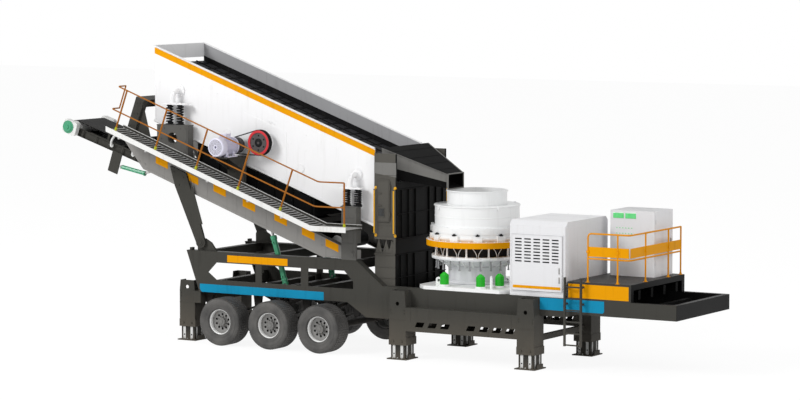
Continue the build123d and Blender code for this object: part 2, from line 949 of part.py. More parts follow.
# Ladder to the platform: two rails, rungs, and arms to the platform's skirt and the gooseneck
ladder_rails_x = (ladder_x - ladder_width / 2, ladder_x + ladder_width / 2)
ladder_top_z = platform_top_z + 100
with BuildPart() as ladder:
    for x in ladder_rails_x:
        half = ladder_rail[0] / 2
        rail_depth = (-ladder_y - ladder_rail[1] / 2, -ladder_y + ladder_rail[1] / 2)
        block((x - half, x + half), rail_depth, (ladder_bottom_z, ladder_top_z))
        for z in (platform_top_z - platform_beam_height, front_deck_z - gooseneck_beam):
            block((x - half, x + half), (-ladder_y, -frame_half_width), (z, z + ladder_rail[0]))
    for index in range(ladder_rung_count):
        z = ladder_bottom_z + ladder_rung_radius * 2 + index * ladder_rung_pitch
        round_bar((ladder_rails_x[0], -ladder_y, z), (ladder_rails_x[1], -ladder_y, z), ladder_rung_radius)
save(ladder, "ladder")

# Generator cabinet: a closed housing with bevelled upper edges
cabinet_outline = [
    (generator_y[0], front_deck_z),
    (generator_y[1], front_deck_z),
    (generator_y[1], generator_top_z - generator_bevel),
    (generator_y[1] - generator_bevel, generator_top_z),
    (generator_y[0] + generator_bevel, generator_top_z),
    (generator_y[0], generator_top_z - generator_bevel),
]
door_y = (generator_y[0] - door_gap - generator_door_thickness, generator_y[0] - door_gap)
generator_hinge_x = generator_door_x[0] - hinge_radius
with BuildPart() as generator_cabinet:
    with BuildSketch(Plane.YZ.offset(generator_x[0])):
        with BuildLine():
            Polyline(*cabinet_outline, close=True)
        make_face()
    extrude(amount=generator_x[1] - generator_x[0])
    side_edges = generator_cabinet.edges().filter_by(Axis.Z)
    fillet(side_edges, radius=generator_wall)
    hinge_leaves(generator_hinge_x, door_y[0], generator_door_z, generator_y[0], 1)
save(generator_cabinet, "generator_cabinet")

# Generator door: a flat panel with rows of louvre slots, hung at its rear edge
with BuildPart() as generator_door:
    block(generator_door_x, door_y, generator_door_z)
    hinge_knuckles(generator_hinge_x, door_y[0], generator_door_z, generator_door_x[0])
    for column in range(louvre_columns):
        for row in range(louvre_rows):
            middle = (generator_door_x[0] + generator_door_x[1]) / 2
            x = middle + (column - (louvre_columns - 1) / 2) * louvre_pitch[0]
            z = generator_door_z[1] - louvre_drop - row * louvre_pitch[1]
            slot_x = (x - louvre_size[0] / 2, x + louvre_size[0] / 2)
            block(slot_x, door_y, (z - louvre_size[1] / 2, z + louvre_size[1] / 2), Mode.SUBTRACT)
save(generator_door, "generator_door")

# Control cabinet: an upright closed housing on the platform
with BuildPart() as control_cabinet:
    block(control_x, control_y, (platform_top_z, control_top_z))
    upright_edges = control_cabinet.edges().filter_by(Axis.Z)
    fillet(upright_edges, radius=control_corner)
save(control_cabinet, "control_cabinet")

# Crusher base: a thick plate with cut corners and a hole for the crusher's foot
base_z = (front_deck_z, front_deck_z + base_plate_thickness)
base_outline = [
    (base_plate_x[0], -frame_half_width + base_plate_corner),
    (base_plate_x[0] + base_plate_corner, -frame_half_width),
    (base_plate_x[1] - base_plate_corner, -frame_half_width),
    (base_plate_x[1], -frame_half_width + base_plate_corner),
    (base_plate_x[1], frame_half_width - base_plate_corner),
    (base_plate_x[1] - base_plate_corner, frame_half_width),
    (base_plate_x[0] + base_plate_corner, frame_half_width),
    (base_plate_x[0], frame_half_width - base_plate_corner),
]
with BuildPart() as crusher_base:
    with BuildSketch(Plane.XY.offset(base_z[0])):
        with BuildLine():
            Polyline(*base_outline, close=True)
        make_face()
        with Locations((crusher_x, 0)):
            Circle(crusher_foot_radius, mode=Mode.SUBTRACT)
    extrude(amount=base_plate_thickness)
save(crusher_base, "crusher_base")

# Crusher frame: a turned casting that stands on the base and carries the ring
flange_top_z = crusher_flange_z + crusher_flange_thickness
foot_clearance = 2
crusher_outline = [
    (crusher_foot_radius - foot_clearance, crusher_foot_z),
    (crusher_foot_radius - foot_clearance, base_z[1]),
    (crusher_waist_radius + crusher_wall, base_z[1]),
    (crusher_waist_radius, base_z[1] + crusher_wall),
    (crusher_waist_radius, crusher_waist_z - crusher_wall * 2),
    (crusher_flange_radius - crusher_wall, crusher_flange_z),
    (crusher_flange_radius, crusher_flange_z),
    (crusher_flange_radius, flange_top_z),
    (crusher_flange_radius - crusher_wall * 3, flange_top_z),
    (crusher_flange_radius - crusher_wall * 3, ring_low_z),
    (crusher_flange_radius - crusher_wall * 4, ring_low_z),
    (crusher_flange_radius - crusher_wall * 4, crusher_flange_z + crusher_wall),
    (crusher_waist_radius - crusher_wall, crusher_waist_z - crusher_wall * 2),
    (crusher_foot_radius - foot_clearance - crusher_wall, base_z[1]),
    (crusher_foot_radius - foot_clearance - crusher_wall, crusher_foot_z),
]
with BuildPart() as crusher_frame:
    with BuildSketch(Plane.XZ):
        with BuildLine():
            Polyline(*[(crusher_x + r, z) for r, z in crusher_outline], close=True)
        make_face()
    revolve(axis=Axis((crusher_x, 0, 0), (0, 0, 1)))
save(crusher_frame, "crusher_frame")

# Crusher ring: the wide ring, the adjusting collar and its lock blocks
ring_top_z = ring_low_z + ring_height
collar_top_z = ring_top_z + collar_ring_height
ring_bore = bowl_radius - bowl_wall - crusher_wall * 2
with BuildPart() as crusher_ring:
    ring(crusher_x, 0, (ring_low_z, ring_top_z), ring_radius, ring_bore)
    ring(crusher_x, 0, (ring_top_z, collar_top_z), collar_ring_radius - lock_block_size / 2, ring_bore)
    for index in range(lock_block_count):
        with BuildSketch(Plane.XY.offset(ring_top_z)) as lock:
            with Locations((crusher_x, 0)):
                with PolarLocations(collar_ring_radius - lock_block_size / 2, 1, 360 * index / lock_block_count):
                    Rectangle(lock_block_size, lock_block_size * 1.6)
        extrude(lock.sketch, amount=collar_ring_height * 0.8)
save(crusher_ring, "crusher_ring")

# Crusher bowl: a flanged drum, open above and below
bowl_bore = bowl_radius - bowl_wall
with BuildPart() as crusher_bowl:
    ring(crusher_x, 0, (collar_top_z, collar_top_z + bowl_flange_height), bowl_flange_radius, bowl_bore)
    ring(crusher_x, 0, (collar_top_z, bowl_top_z), bowl_radius, bowl_bore)
    ring(crusher_x, 0, (bowl_top_z - bowl_wall, bowl_top_z), bowl_radius, hopper_radius - hopper_wall)
save(crusher_bowl, "crusher_bowl")

# Crusher hopper: a thin round wall with a rolled edge on top of the bowl
with BuildPart() as crusher_hopper:
    ring(crusher_x, 0, (bowl_top_z, hopper_top_z), hopper_radius, hopper_radius - hopper_wall)
    ring(
        crusher_x,
        0,
        (hopper_top_z - hopper_wall * 2, hopper_top_z),
        hopper_radius + hopper_wall * 2,
        hopper_radius - hopper_wall,
    )
save(crusher_hopper, "crusher_hopper")

# Crusher hydraulics: release cylinders all round under the ring, and accumulators and lugs on the base plate
with BuildPart() as crusher_hydraulics:
    for index in range(release_count):
        angle = 2 * pi * (index + 0.5) / release_count
        x = crusher_x + release_circle * cos(angle)
        y = release_circle * sin(angle)
        if y < 0:
            ring(x, y, (flange_top_z, ring_low_z), release_radius)
    for offset_x, y in accumulator_places:
        x = crusher_x + offset_x
        pad_z = (base_z[1], base_z[1] + accumulator_pad_height)
        ring(x, y, pad_z, accumulator_radius * 1.25)
        ring(x, y, (pad_z[1], pad_z[1] + accumulator_height), accumulator_radius)
    lug_x = crusher_x + lug_place_x
    lug_y = accumulator_places[0][1]
    lug_face = (lug_y - lug_thickness / 2, lug_y + lug_thickness / 2)
    block((lug_x - lug_length / 2, lug_x + lug_length / 2), lug_face, (base_z[1], base_z[1] + lug_height))
    pin(lug_x, base_z[1] + lug_height * 0.6, lug_face, lug_hole_radius, Mode.SUBTRACT)
    mirror(about=Plane.XZ)
save(crusher_hydraulics, "crusher_hydraulics")

# Chute housing: an upright box between screen and crusher, open to the screen, over a lower box
lower_face = (-lower_box_half_width, lower_box_half_width)
hood_fall = (hood_rear_z[0] - hood_front_z[0]) / (hood_x[1] - hood_x[0])
hood_seat_z = hood_rear_z[0] - hood_fall * (chute_x[1] - hood_x[0]) - seat_gap
chute_face = (-chute_half_width, chute_half_width)
inner_face = (-chute_half_width + chute_wall, chute_half_width - chute_wall)
chute_door_y = (chute_face[0] - door_gap - chute_door_thickness, chute_face[0] - door_gap)
chute_hinge_x = chute_door_x[1] + hinge_radius
with BuildPart() as chute_housing:
    block(chute_x, chute_face, (chute_low_z, chute_top_z))
    block(
        (chute_x[0], chute_x[1] - chute_wall),
        inner_face,
        (chute_low_z + chute_wall, chute_top_z),
        Mode.SUBTRACT,
    )
    block((hood_x[0], chute_x[1]), inner_face, (hood_seat_z, chute_top_z), Mode.SUBTRACT)
    block(lower_box_x, lower_face, lower_box_z)
    block(
        (lower_box_x[0] + chute_wall, lower_box_x[1] - chute_wall),
        (lower_face[0] + chute_wall, lower_face[1] - chute_wall),
        (lower_box_z[0] + chute_wall, lower_box_z[1] - chute_wall),
        Mode.SUBTRACT,
    )
    for start in (lower_box_x[0], lower_box_x[0] + tooth_width, lower_box_x[1] - tooth_width):
        tooth = [
            (start, lower_box_z[1]),
            (start + tooth_width, lower_box_z[1]),
            (start + tooth_width / 2, chute_low_z),
        ]
        plate(tooth, (chute_face[0], chute_face[0] + chute_wall))
        plate(tooth, (chute_face[1] - chute_wall, chute_face[1]))
    spine_x = (lower_box_x[1] - chute_wall * 5, lower_box_x[1])
    block(spine_x, chute_face, (lower_box_z[1], chute_low_z))
    for x in grab_bar_x:
        bar_y = chute_face[0] - grab_bar_reach
        tube_run(
            [
                (x, chute_face[0], grab_bar_z[0]),
                (x, bar_y, grab_bar_z[0] + grab_bar_bend),
                (x, bar_y, grab_bar_z[1] - grab_bar_bend),
                (x, chute_face[0], grab_bar_z[1]),
            ],
            grab_bar_radius,
        )
    hinge_leaves(chute_hinge_x, chute_door_y[0], chute_door_z, chute_face[0], -1)
save(chute_housing, "chute_housing")

# Chute hood: a tapering trough that leads from the housing to the crusher's hopper
with BuildPart() as chute_hood:
    for inset, mode in ((0, Mode.ADD), (hood_wall, Mode.SUBTRACT)):
        rear = [
            (-hood_rear_half_width + inset, hood_rear_z[0] + inset),
            (hood_rear_half_width - inset, hood_rear_z[0] + inset),
            (hood_rear_half_width - inset, hood_rear_z[1] - inset),
            (-hood_rear_half_width + inset, hood_rear_z[1] - inset),
        ]
        front = [
            (-hood_front_half_width + inset, hood_front_z[0] + inset),
            (hood_front_half_width - inset, hood_front_z[0] + inset),
            (hood_front_half_width - inset, hood_front_z[1] - inset),
            (-hood_front_half_width + inset, hood_front_z[1] - inset),
        ]
        with BuildSketch(Plane.YZ.offset(hood_x[0])) as rear_face:
            with BuildLine():
                Polyline(*rear, close=True)
            make_face()
        with BuildSketch(Plane.YZ.offset(hood_x[1])) as front_face:
            with BuildLine():
                Polyline(*front, close=True)
            make_face()
        loft([rear_face.sketch.face(), front_face.sketch.face()], ruled=True, mode=mode)
save(chute_hood, "chute_hood")

# Inspection door on the chute's near face, with rounded corners, hung at its front edge
with BuildPart() as chute_door:
    with BuildSketch(Plane.XZ.offset(-chute_door_y[1])) as door_face:
        with Locations(((chute_door_x[0] + chute_door_x[1]) / 2, (chute_door_z[0] + chute_door_z[1]) / 2)):
            RectangleRounded(
                chute_door_x[1] - chute_door_x[0], chute_door_z[1] - chute_door_z[0], chute_door_corner
            )
    extrude(door_face.sketch, amount=chute_door_thickness)
    hinge_knuckles(chute_hinge_x, chute_door_y[0], chute_door_z, chute_door_x[1])
save(chute_door, "chute_door")


def sloped(x_range, drops, top=screen_top):
    """Outline of a strip that runs parallel to an upper edge, between two drops below it."""
    return [
        (x_range[0], top(x_range[0]) - drops[0]),
        (x_range[1], top(x_range[1]) - drops[0]),
        (x_range[1], top(x_range[1]) - drops[1]),
        (x_range[0], top(x_range[0]) - drops[1]),
    ]


# Screen side plates: deep sloping plates with a folded upper edge
with BuildPart() as screen_sides:
    plate(sloped(screen_x, (0, screen_depth)), (-screen_half_width, -screen_half_width + screen_plate))
    plate(sloped(screen_x, (0, screen_plate)), (-screen_half_width - screen_flange, -screen_half_width))
    pin(
        exciter_x,
        exciter_z,
        (-screen_half_width, -screen_half_width + screen_plate),
        exciter_shaft_radius + screen_plate,
        Mode.SUBTRACT,
    )
    mirror(about=Plane.XZ)
save(screen_sides, "screen_sides")

# Screen decks: two mesh decks on cross beams between the side plates
screen_inner_y = screen_half_width - screen_plate
with BuildPart() as screen_decks:
    for drop in deck_drops:
        deck_ends = (screen_x[0] + screen_plate, screen_x[1] - screen_plate)
        plate(sloped(deck_ends, (drop, drop + deck_thickness)), (-screen_inner_y, screen_inner_y))
save(screen_decks, "screen_decks")

# Screen cross tubes: round tubes, a back plate and the exciter's tube with a bearing housing on each side
housing_y = (-screen_half_width - exciter_housing_length, -screen_half_width)
with BuildPart() as screen_cross_tubes:
    for station in tube_stations:
        x = screen_x[0] + station
        pin(x, screen_top(x) - tube_drop, (-screen_inner_y, screen_inner_y), tube_radius)
    block(
        (screen_x[0], screen_x[0] + back_plate_thickness),
        (-screen_inner_y, screen_inner_y),
        (screen_top_z - back_plate_height, screen_top_z),
    )
    pin(exciter_x, exciter_z, (-screen_inner_y, screen_inner_y), exciter_tube_radius)
    pin(
        exciter_x,
        exciter_z,
        (-screen_inner_y, screen_inner_y),
        exciter_shaft_radius + screen_plate,
        Mode.SUBTRACT,
    )
    pin(exciter_x, exciter_z, housing_y, exciter_housing_radius)
    pin(exciter_x, exciter_z, (-housing_y[1], -housing_y[0]), exciter_housing_radius)
    pin(exciter_x, exciter_z, housing_y, exciter_shaft_radius + shaft_clearance, Mode.SUBTRACT)
save(screen_cross_tubes, "screen_cross_tubes")


def pulley(x, z, radius, shaft_radius, shaft_y):
    """Make a pulley with a rim, a web and a shaft."""
    with BuildPart() as wheel:
        middle_y = (pulley_y[0] + pulley_y[1]) / 2
        pin(x, z, pulley_y, radius)
        pin(x, z, pulley_y, radius - pulley_rim, Mode.SUBTRACT)
        pin(x, z, (middle_y - pulley_web / 2, middle_y + pulley_web / 2), radius)
        pin(x, z, (pulley_y[0] + pulley_boss_recess, pulley_y[1]), shaft_radius * pulley_boss_share)
        pin(x, z, shaft_y, shaft_radius)
    return wheel


# Exciter pulley on its shaft, and the smaller motor pulley on its own
exciter_shaft_y = (pulley_y[0], -screen_half_width)
save(pulley(exciter_x, exciter_z, exciter_pulley_radius, exciter_shaft_radius, exciter_shaft_y), "exciter_pulley")
motor_shaft_y = (motor_y[1] + shaft_clearance, pulley_y[1])
save(pulley(motor_x, motor_z, motor_pulley_radius, motor_shaft_radius, motor_shaft_y), "motor_pulley")

# Drive belt: one closed loop round both pulleys
belt_y = (pulley_y[0] + belt_inset, pulley_y[1] - belt_inset)


def belt_loop(extra):
    """Sketch the outline of an open belt round both pulleys, standing off them by extra."""
    with BuildSketch(Plane.XZ.offset(-belt_y[1])) as loop:
        with Locations((exciter_x, exciter_z)):
            Circle(exciter_pulley_radius + extra)
        with Locations((motor_x, motor_z)):
            Circle(motor_pulley_radius + extra)
        make_hull()
    return loop.sketch


with BuildPart() as drive_belt:
    extrude(belt_loop(belt_gap + drive_belt_thickness), amount=belt_y[1] - belt_y[0])
    extrude(belt_loop(belt_gap), amount=belt_y[1] - belt_y[0], mode=Mode.SUBTRACT)
save(drive_belt, "drive_belt")

# Screen motor: a round body with feet
shelf_top_z = motor_z - motor_foot_drop
with BuildPart() as screen_motor:
    pin(motor_x, motor_z, motor_y, motor_radius)
    foot_y = (motor_y[0] + motor_foot_inset[0], motor_y[1] - motor_foot_inset[1])
    foot_half = motor_radius * motor_foot_share
    block((motor_x - motor_radius, motor_x + motor_radius), foot_y, (shelf_top_z, shelf_top_z + motor_foot_height))
    block((motor_x - foot_half, motor_x + foot_half), foot_y, (shelf_top_z, motor_z))
save(screen_motor, "screen_motor")

# Motor stand: an upright on the inclined frame with a shelf that reaches out over the walkway
with BuildPart() as motor_stand:
    stand_outline = [
        (stand_x[0], frame_top(stand_x[0])),
        (stand_x[1], frame_top(stand_x[1])),
        (stand_x[1], shelf_top_z),
        (stand_x[0], shelf_top_z),
    ]
    plate(stand_outline, stand_y)
    block(stand_x, (shelf_end_y, stand_y[0]), (shelf_top_z - shelf_thickness, shelf_top_z))
    for x in stand_x:
        rib_x = (x, x + stand_rib) if x == stand_x[0] else (x - stand_rib, x)
        with BuildSketch(Plane.YZ.offset(rib_x[0])) as rib:
            with BuildLine():
                Polyline(
                    (stand_y[0], shelf_top_z - shelf_thickness),
                    (shelf_end_y + stand_rib_inset, shelf_top_z - shelf_thickness),
                    (stand_y[0], shelf_top_z - shelf_thickness - stand_rib_height),
                    close=True,
                )
            make_face()
        extrude(rib.sketch, amount=stand_rib)
save(motor_stand, "motor_stand")


def coil(x, z):
    """Add one coil spring as a core with a stack of turns."""
    ring(x, -spring_y, z, spring_core)
    pitch = (z[1] - z[0]) / spring_turns
    for turn in range(spring_turns):
        low = z[0] + turn * pitch + pitch * spring_gap_share
        ring(x, -spring_y, (low, low + pitch * (1 - 2 * spring_gap_share)), spring_radius)


# Screen springs: a pair of coils at each corner under a plate, with an arm to a flange on the screen's side
with BuildPart() as screen_springs:
    for middle, z in ((rear_spring_x, rear_spring_z), (front_spring_x, front_spring_z)):
        for x in (middle - spring_spread / 2, middle + spring_spread / 2):
            coil(x, z)
    for middle, z in ((rear_spring_x, rear_spring_z[1]), (front_spring_x, front_spring_z[1])):
        half = spring_plate_length / 2
        if middle == front_spring_x:
            half = (chute_x[0] - middle) / 2
        plate_y = (-spring_y - spring_plate_half_width, -spring_y + spring_plate_half_width)
        block((middle - half, middle + half), plate_y, (z, z + spring_plate))
        arm_x = (middle - arm_post_length / 2, middle + arm_post_length / 2)
        post_y = (-spring_y + arm_post_y[0], -spring_y + arm_post_y[1])
        block(arm_x, post_y, (z + spring_plate, z + arm_rise))
        arm_z = (z + arm_rise - arm_width, z + arm_rise)
        block(arm_x, (-spring_y, -screen_half_width - arm_flange_thickness), arm_z)
        flange_y = (-screen_half_width - arm_flange_thickness, -screen_half_width)
        pin(middle, z + arm_rise - arm_width / 2, flange_y, arm_flange_radius)
    mirror(about=Plane.XZ)
save(screen_springs, "screen_springs")

# Spring stands: boxes with a round hole on the inclined frame, and columns on the girders that pin its foot
with BuildPart() as spring_stands:
    box_x = (rear_spring_x - spring_box_length / 2, rear_spring_x + spring_box_length / 2)
    box_outline = [
        (box_x[0], frame_top(box_x[0])),
        (box_x[1], frame_top(box_x[1])),
        (box_x[1], rear_spring_z[0]),
        (box_x[0], rear_spring_z[0]),
    ]
    plate(box_outline, spring_box_y)
    hole_z = (frame_top(rear_spring_x) + rear_spring_z[0]) / 2
    pin(rear_spring_x, hole_z, spring_box_y, spring_box_hole, Mode.SUBTRACT)
    block(column_x, column_foot_y, (girder_top_z, column_split_z))
    block(column_x, column_y, (column_split_z, front_spring_z[0]))
    block(
        (column_x[0] + column_wall, column_x[1] - column_wall),
        (column_y[0] + column_wall, column_y[1] - column_wall),
        (column_split_z + column_wall, front_spring_z[0] - column_wall),
        Mode.SUBTRACT,
    )
    pin(hinge_pin[0], hinge_pin[1], (column_foot_y[0], frame_y[1]), hinge_pin_radius - rim_clearance)
    mirror(about=Plane.XZ)
save(spring_stands, "spring_stands")

# Inclined frame: a deep rimmed plate on each side under the screen, pinned to the trailer at its foot
frame_bottom_drop = frame_top(frame_bottom_rear[0]) - frame_bottom_rear[1]
inclined_outline = [
    (frame_rear_x, frame_rear_top_z),
    (frame_step_x, frame_top(frame_step_x)),
    (frame_step_x, frame_top(frame_step_x) - frame_step),
    (frame_nose_x, frame_nose_z),
    (frame_front_x, frame_nose_z),
    (frame_front_x, frame_floor_z),
    (frame_bottom_front_x, frame_floor_z),
    frame_bottom_rear,
    (frame_rear_x, frame_rear_top_z - frame_rear_depth),
]
with BuildPart() as inclined_frame:
    pan(inclined_outline, frame_y[0], frame_y[1], frame_plate)
    pin(hinge_pin[0], hinge_pin[1], (frame_y[0], frame_y[0] + frame_plate), hinge_pin_radius, Mode.SUBTRACT)
    mirror(about=Plane.XZ)
save(inclined_frame, "inclined_frame")

# Frame crossbars: bars between the inclined frame's two sides, and a leaning portal on its rear end
portal_foot_z = frame_top(portal_x)
lean_x = portal_height * sin(radians(portal_lean))
lean_z = portal_height * cos(radians(portal_lean))
rise = (sin(radians(portal_lean)), cos(radians(portal_lean)))
foot_half_x = portal_width / 2 * cos(radians(screen_slope))
frame_web_y = -(frame_y[0] + frame_plate)
with BuildPart() as frame_crossbars:
    portal_post = [
        (portal_x - foot_half_x, frame_top(portal_x - foot_half_x)),
        (portal_x + foot_half_x, frame_top(portal_x + foot_half_x)),
        (portal_x + foot_half_x + lean_x, frame_top(portal_x + foot_half_x) + lean_z),
        (portal_x - foot_half_x + lean_x, frame_top(portal_x - foot_half_x) + lean_z),
    ]
    plate(portal_post, frame_y)
    gusset_foot_x = portal_x + foot_half_x + portal_gusset_length
    gusset = [
        (portal_x + foot_half_x, frame_top(portal_x + foot_half_x)),
        (gusset_foot_x, frame_top(gusset_foot_x)),
        (
            portal_x + foot_half_x + lean_x * portal_gusset_share,
            frame_top(portal_x + foot_half_x) + lean_z * portal_gusset_share,
        ),
    ]
    gusset_y = frame_y[0] + portal_gusset_inset
    plate(gusset, (gusset_y, gusset_y + portal_gusset_thickness))
    mirror(about=Plane.XZ)
    beam_outline = [
        (portal_x - foot_half_x + lean_x, frame_top(portal_x - foot_half_x) + lean_z),
        (portal_x + foot_half_x + lean_x, frame_top(portal_x + foot_half_x) + lean_z),
        (
            portal_x + foot_half_x + lean_x - rise[0] * portal_beam,
            frame_top(portal_x + foot_half_x) + lean_z - rise[1] * portal_beam,
        ),
        (
            portal_x - foot_half_x + lean_x - rise[0] * portal_beam,
            frame_top(portal_x - foot_half_x) + lean_z - rise[1] * portal_beam,
        ),
    ]
    plate(beam_outline, (frame_y[0], -frame_y[0]))
    for x in frame_bar_stations:
        half = frame_bar_size[0] / 2
        top_z = frame_top(x) - frame_bar_drop
        block((x - half, x + half), (-frame_web_y, frame_web_y), (top_z - frame_bar_size[1], top_z))
save(frame_crossbars, "frame_crossbars")

# Support struts: broad plates from the frame's side down to pins in brackets on the girders
strut_outline = [
    (strut_pin[0] - strut_eye_radius, strut_pin[1]),
    (strut_pin[0] + strut_eye_radius, strut_pin[1]),
    *strut_top,
]
strut_bracket_outline = [
    (strut_pin[0] - strut_eye_radius, girder_top_z),
    (strut_pin[0] - strut_eye_radius + strut_bracket_length, girder_top_z),
    (strut_pin[0] + strut_eye_radius * 2, strut_pin[1]),
    (strut_pin[0] + strut_eye_radius * strut_bracket_share, strut_pin[1] + strut_eye_radius * strut_bracket_share),
    (strut_pin[0] - strut_eye_radius * strut_bracket_share, strut_pin[1] + strut_eye_radius * strut_bracket_share),
    (strut_pin[0] - strut_eye_radius, strut_pin[1]),
]
with BuildPart() as support_struts:
    plate(strut_outline, strut_y)
    pin(strut_pin[0], strut_pin[1], strut_y, strut_eye_radius)
    pin(strut_pin[0], strut_pin[1], strut_y, strut_pin_radius, Mode.SUBTRACT)
    plate(strut_bracket_outline, strut_bracket_y)
    pin(
        strut_pin[0],
        strut_pin[1],
        (strut_y[0] - strut_bracket_gap, strut_bracket_y[0]),
        strut_pin_radius - rim_clearance,
    )
    mirror(about=Plane.XZ)
save(support_struts, "support_struts")

# Lift cylinders: a barrel and rod on each side between a cross member and a frame crossbar
cylinder_head_z = frame_top(frame_bar_stations[2]) - frame_bar_drop - frame_bar_size[1] - cylinder_eye_radius
cylinder_eye_y = (-cylinder_y - cylinder_eye_width / 2, -cylinder_y + cylinder_eye_width / 2)
with BuildPart() as lift_cylinders:
    foot_point = (cylinder_foot[0], -cylinder_y, cylinder_foot[1])
    head_point = (cylinder_head_x, -cylinder_y, cylinder_head_z)
    along = (Vector(head_point) - Vector(foot_point)).normalized()
    barrel_end = Vector(foot_point) + along * barrel_length
    round_bar(foot_point, tuple(barrel_end), barrel_radius)
    round_bar(tuple(barrel_end), head_point, rod_radius)
    pin(cylinder_foot[0], cylinder_foot[1], cylinder_eye_y, cylinder_eye_radius)
    pin(cylinder_head_x, cylinder_head_z, cylinder_eye_y, cylinder_eye_radius)
    mirror(about=Plane.XZ)
save(lift_cylinders, "lift_cylinders")

# Fines hopper: walls under the screen that stand on the inclined frame's upper edge
screen_low = screen_depth + screen_gap
with BuildPart() as fines_hopper:
    wall_outline = [
        (hopper_box_x[0], frame_top(hopper_box_x[0])),
        (hopper_box_x[1], frame_top(hopper_box_x[1])),
        (hopper_box_x[1], screen_top(hopper_box_x[1]) - screen_low),
        (hopper_box_x[0], screen_top(hopper_box_x[0]) - screen_low),
    ]
    plate(wall_outline, (-hopper_half_width, hopper_half_width))
    inner_outline = [
        (hopper_box_x[0] + hopper_plate, frame_top(hopper_box_x[0])),
        (hopper_box_x[1] - hopper_plate, frame_top(hopper_box_x[1])),
        (hopper_box_x[1] - hopper_plate, screen_top(hopper_box_x[1]) - screen_low + hopper_half_width),
        (hopper_box_x[0] + hopper_plate, screen_top(hopper_box_x[0]) - screen_low + hopper_half_width),
    ]
    low_inner = [(x, z - hopper_half_width) if index < 2 else (x, z) for index, (x, z) in enumerate(inner_outline)]
    plate(low_inner, (-hopper_half_width + hopper_plate, hopper_half_width - hopper_plate), Mode.SUBTRACT)
    seat_outline = sloped(hopper_box_x, (-hopper_plate, 0), frame_top)
    seat_reach = frame_y[1] - hopper_seat_lap
    plate(seat_outline, (seat_reach, -hopper_half_width + hopper_plate))
    plate(seat_outline, (hopper_half_width - hopper_plate, -seat_reach))
save(fines_hopper, "fines_hopper")

# Conveyor frame: two channels with ties between them and stubs out to the inclined frame
def along_belt(start, end, low, high, y, mode=Mode.ADD):
    """Add a box between two distances from the head, two heights off the drum line and two y values."""
    with BuildSketch(conveyor_plane.offset(-y[1])) as face:
        with Locations(((start + end) / 2, (low + high) / 2)):
            Rectangle(end - start, high - low)
    extrude(face.sketch, amount=y[1] - y[0], mode=mode)


def across_belt(distance, height, y, radius, mode=Mode.ADD):
    """Add a round bar across the conveyor at a distance from the head and a height off the drum line."""
    with BuildSketch(conveyor_plane.offset(-y[1])) as section:
        with Locations((distance, height)):
            Circle(radius)
    extrude(section.sketch, amount=y[1] - y[0], mode=mode)


with BuildPart() as conveyor_frame:
    channel_end = conveyor_length + channel_overhang
    along_belt(-channel_overhang, channel_end, channel_depth[0], channel_depth[1], (-channel_y[1], -channel_y[0]))
    along_belt(
        -channel_overhang + channel_wall,
        channel_end - channel_wall,
        channel_depth[0] + channel_wall,
        channel_depth[1] - channel_wall,
        (-channel_y[1], -channel_y[0] - channel_wall),
        Mode.SUBTRACT,
    )
    for distance in conveyor_stub_stations:
        stub_y = (-frame_web_y, -channel_y[0] - channel_wall)
        across_belt(distance, (channel_depth[0] + channel_depth[1]) / 2, stub_y, conveyor_stub_radius)
    mirror(about=Plane.XZ)
    for distance in conveyor_tie_stations:
        half = conveyor_tie_size / 2
        along_belt(distance - half, distance + half, -half, half, (-channel_y[0], channel_y[0]))
save(conveyor_frame, "conveyor_frame")

# Conveyor drums at the head and the tail, with a rounded guard over each end of the head shaft
with BuildPart() as conveyor_drums:
    for distance in (0, conveyor_length):
        across_belt(distance, 0, (-drum_half_length, drum_half_length), drum_radius - rim_clearance)
        across_belt(distance, 0, (-channel_y[0], channel_y[0]), drum_shaft_radius)
    for y in (guard_y, (-guard_y[1], -guard_y[0])):
        with BuildSketch(conveyor_plane.offset(-y[1])) as guard:
            RectangleRounded(guard_size[0], guard_size[1], guard_corner)
        extrude(guard.sketch, amount=y[1] - y[0])
    across_belt(0, 0, (-guard_y[0], -channel_y[0] - channel_wall), guard_stub_radius)
    across_belt(0, 0, (channel_y[0] + channel_wall, guard_y[0]), guard_stub_radius)
save(conveyor_drums, "conveyor_drums")

# Conveyor belt: one closed loop round both drums
with BuildPart() as conveyor_belt:
    for radius, mode in ((drum_radius + belt_thickness, Mode.ADD), (drum_radius, Mode.SUBTRACT)):
        with BuildSketch(conveyor_plane.offset(-belt_half_width)) as band:
            with Locations((conveyor_length / 2, 0)):
                SlotCenterToCenter(conveyor_length, radius * 2)
        extrude(band.sketch, amount=belt_half_width * 2, mode=mode)
save(conveyor_belt, "conveyor_belt")


def walkway_strip(low, high):
    """Outline of a strip along the walkway, sloping and then level, between two heights off its deck."""
    level_z = walkway_top(walkway_x[1])
    return [
        (walkway_x[0], walkway_top_z + low),
        (walkway_x[1], level_z + low),
        (walkway_level_x, level_z + low),
        (walkway_level_x, level_z + high),
        (walkway_x[1], level_z + high),
        (walkway_x[0], walkway_top_z + high),
    ]


# Walkways: a grating deck with toe boards on each side of the screen, on arms from the inclined frame
with BuildPart() as walkways:
    near_y = (-walkway_y[1], -walkway_y[0])
    plate(walkway_strip(-walkway_plate, 0), near_y)
    toe_strip = walkway_strip(-toe_board_height / 2, toe_board_height / 2)
    plate(toe_strip, (near_y[0], near_y[0] + toe_board_plate))
    plate(toe_strip, (near_y[1] - toe_board_plate, near_y[1]))
    for x in walkway_arm_x:
        half = walkway_arm_size / 2
        arm_outline = [
            (x - half, walkway_top(x - half) - walkway_plate),
            (x + half, walkway_top(x + half) - walkway_plate),
            (x + half, walkway_top(x + half) - walkway_plate - walkway_arm_size),
            (x - half, walkway_top(x - half) - walkway_plate - walkway_arm_size),
        ]
        plate(arm_outline, (near_y[0] + toe_board_plate, frame_y[0]))
    mirror(about=Plane.XZ)
save(walkways, "walkways")

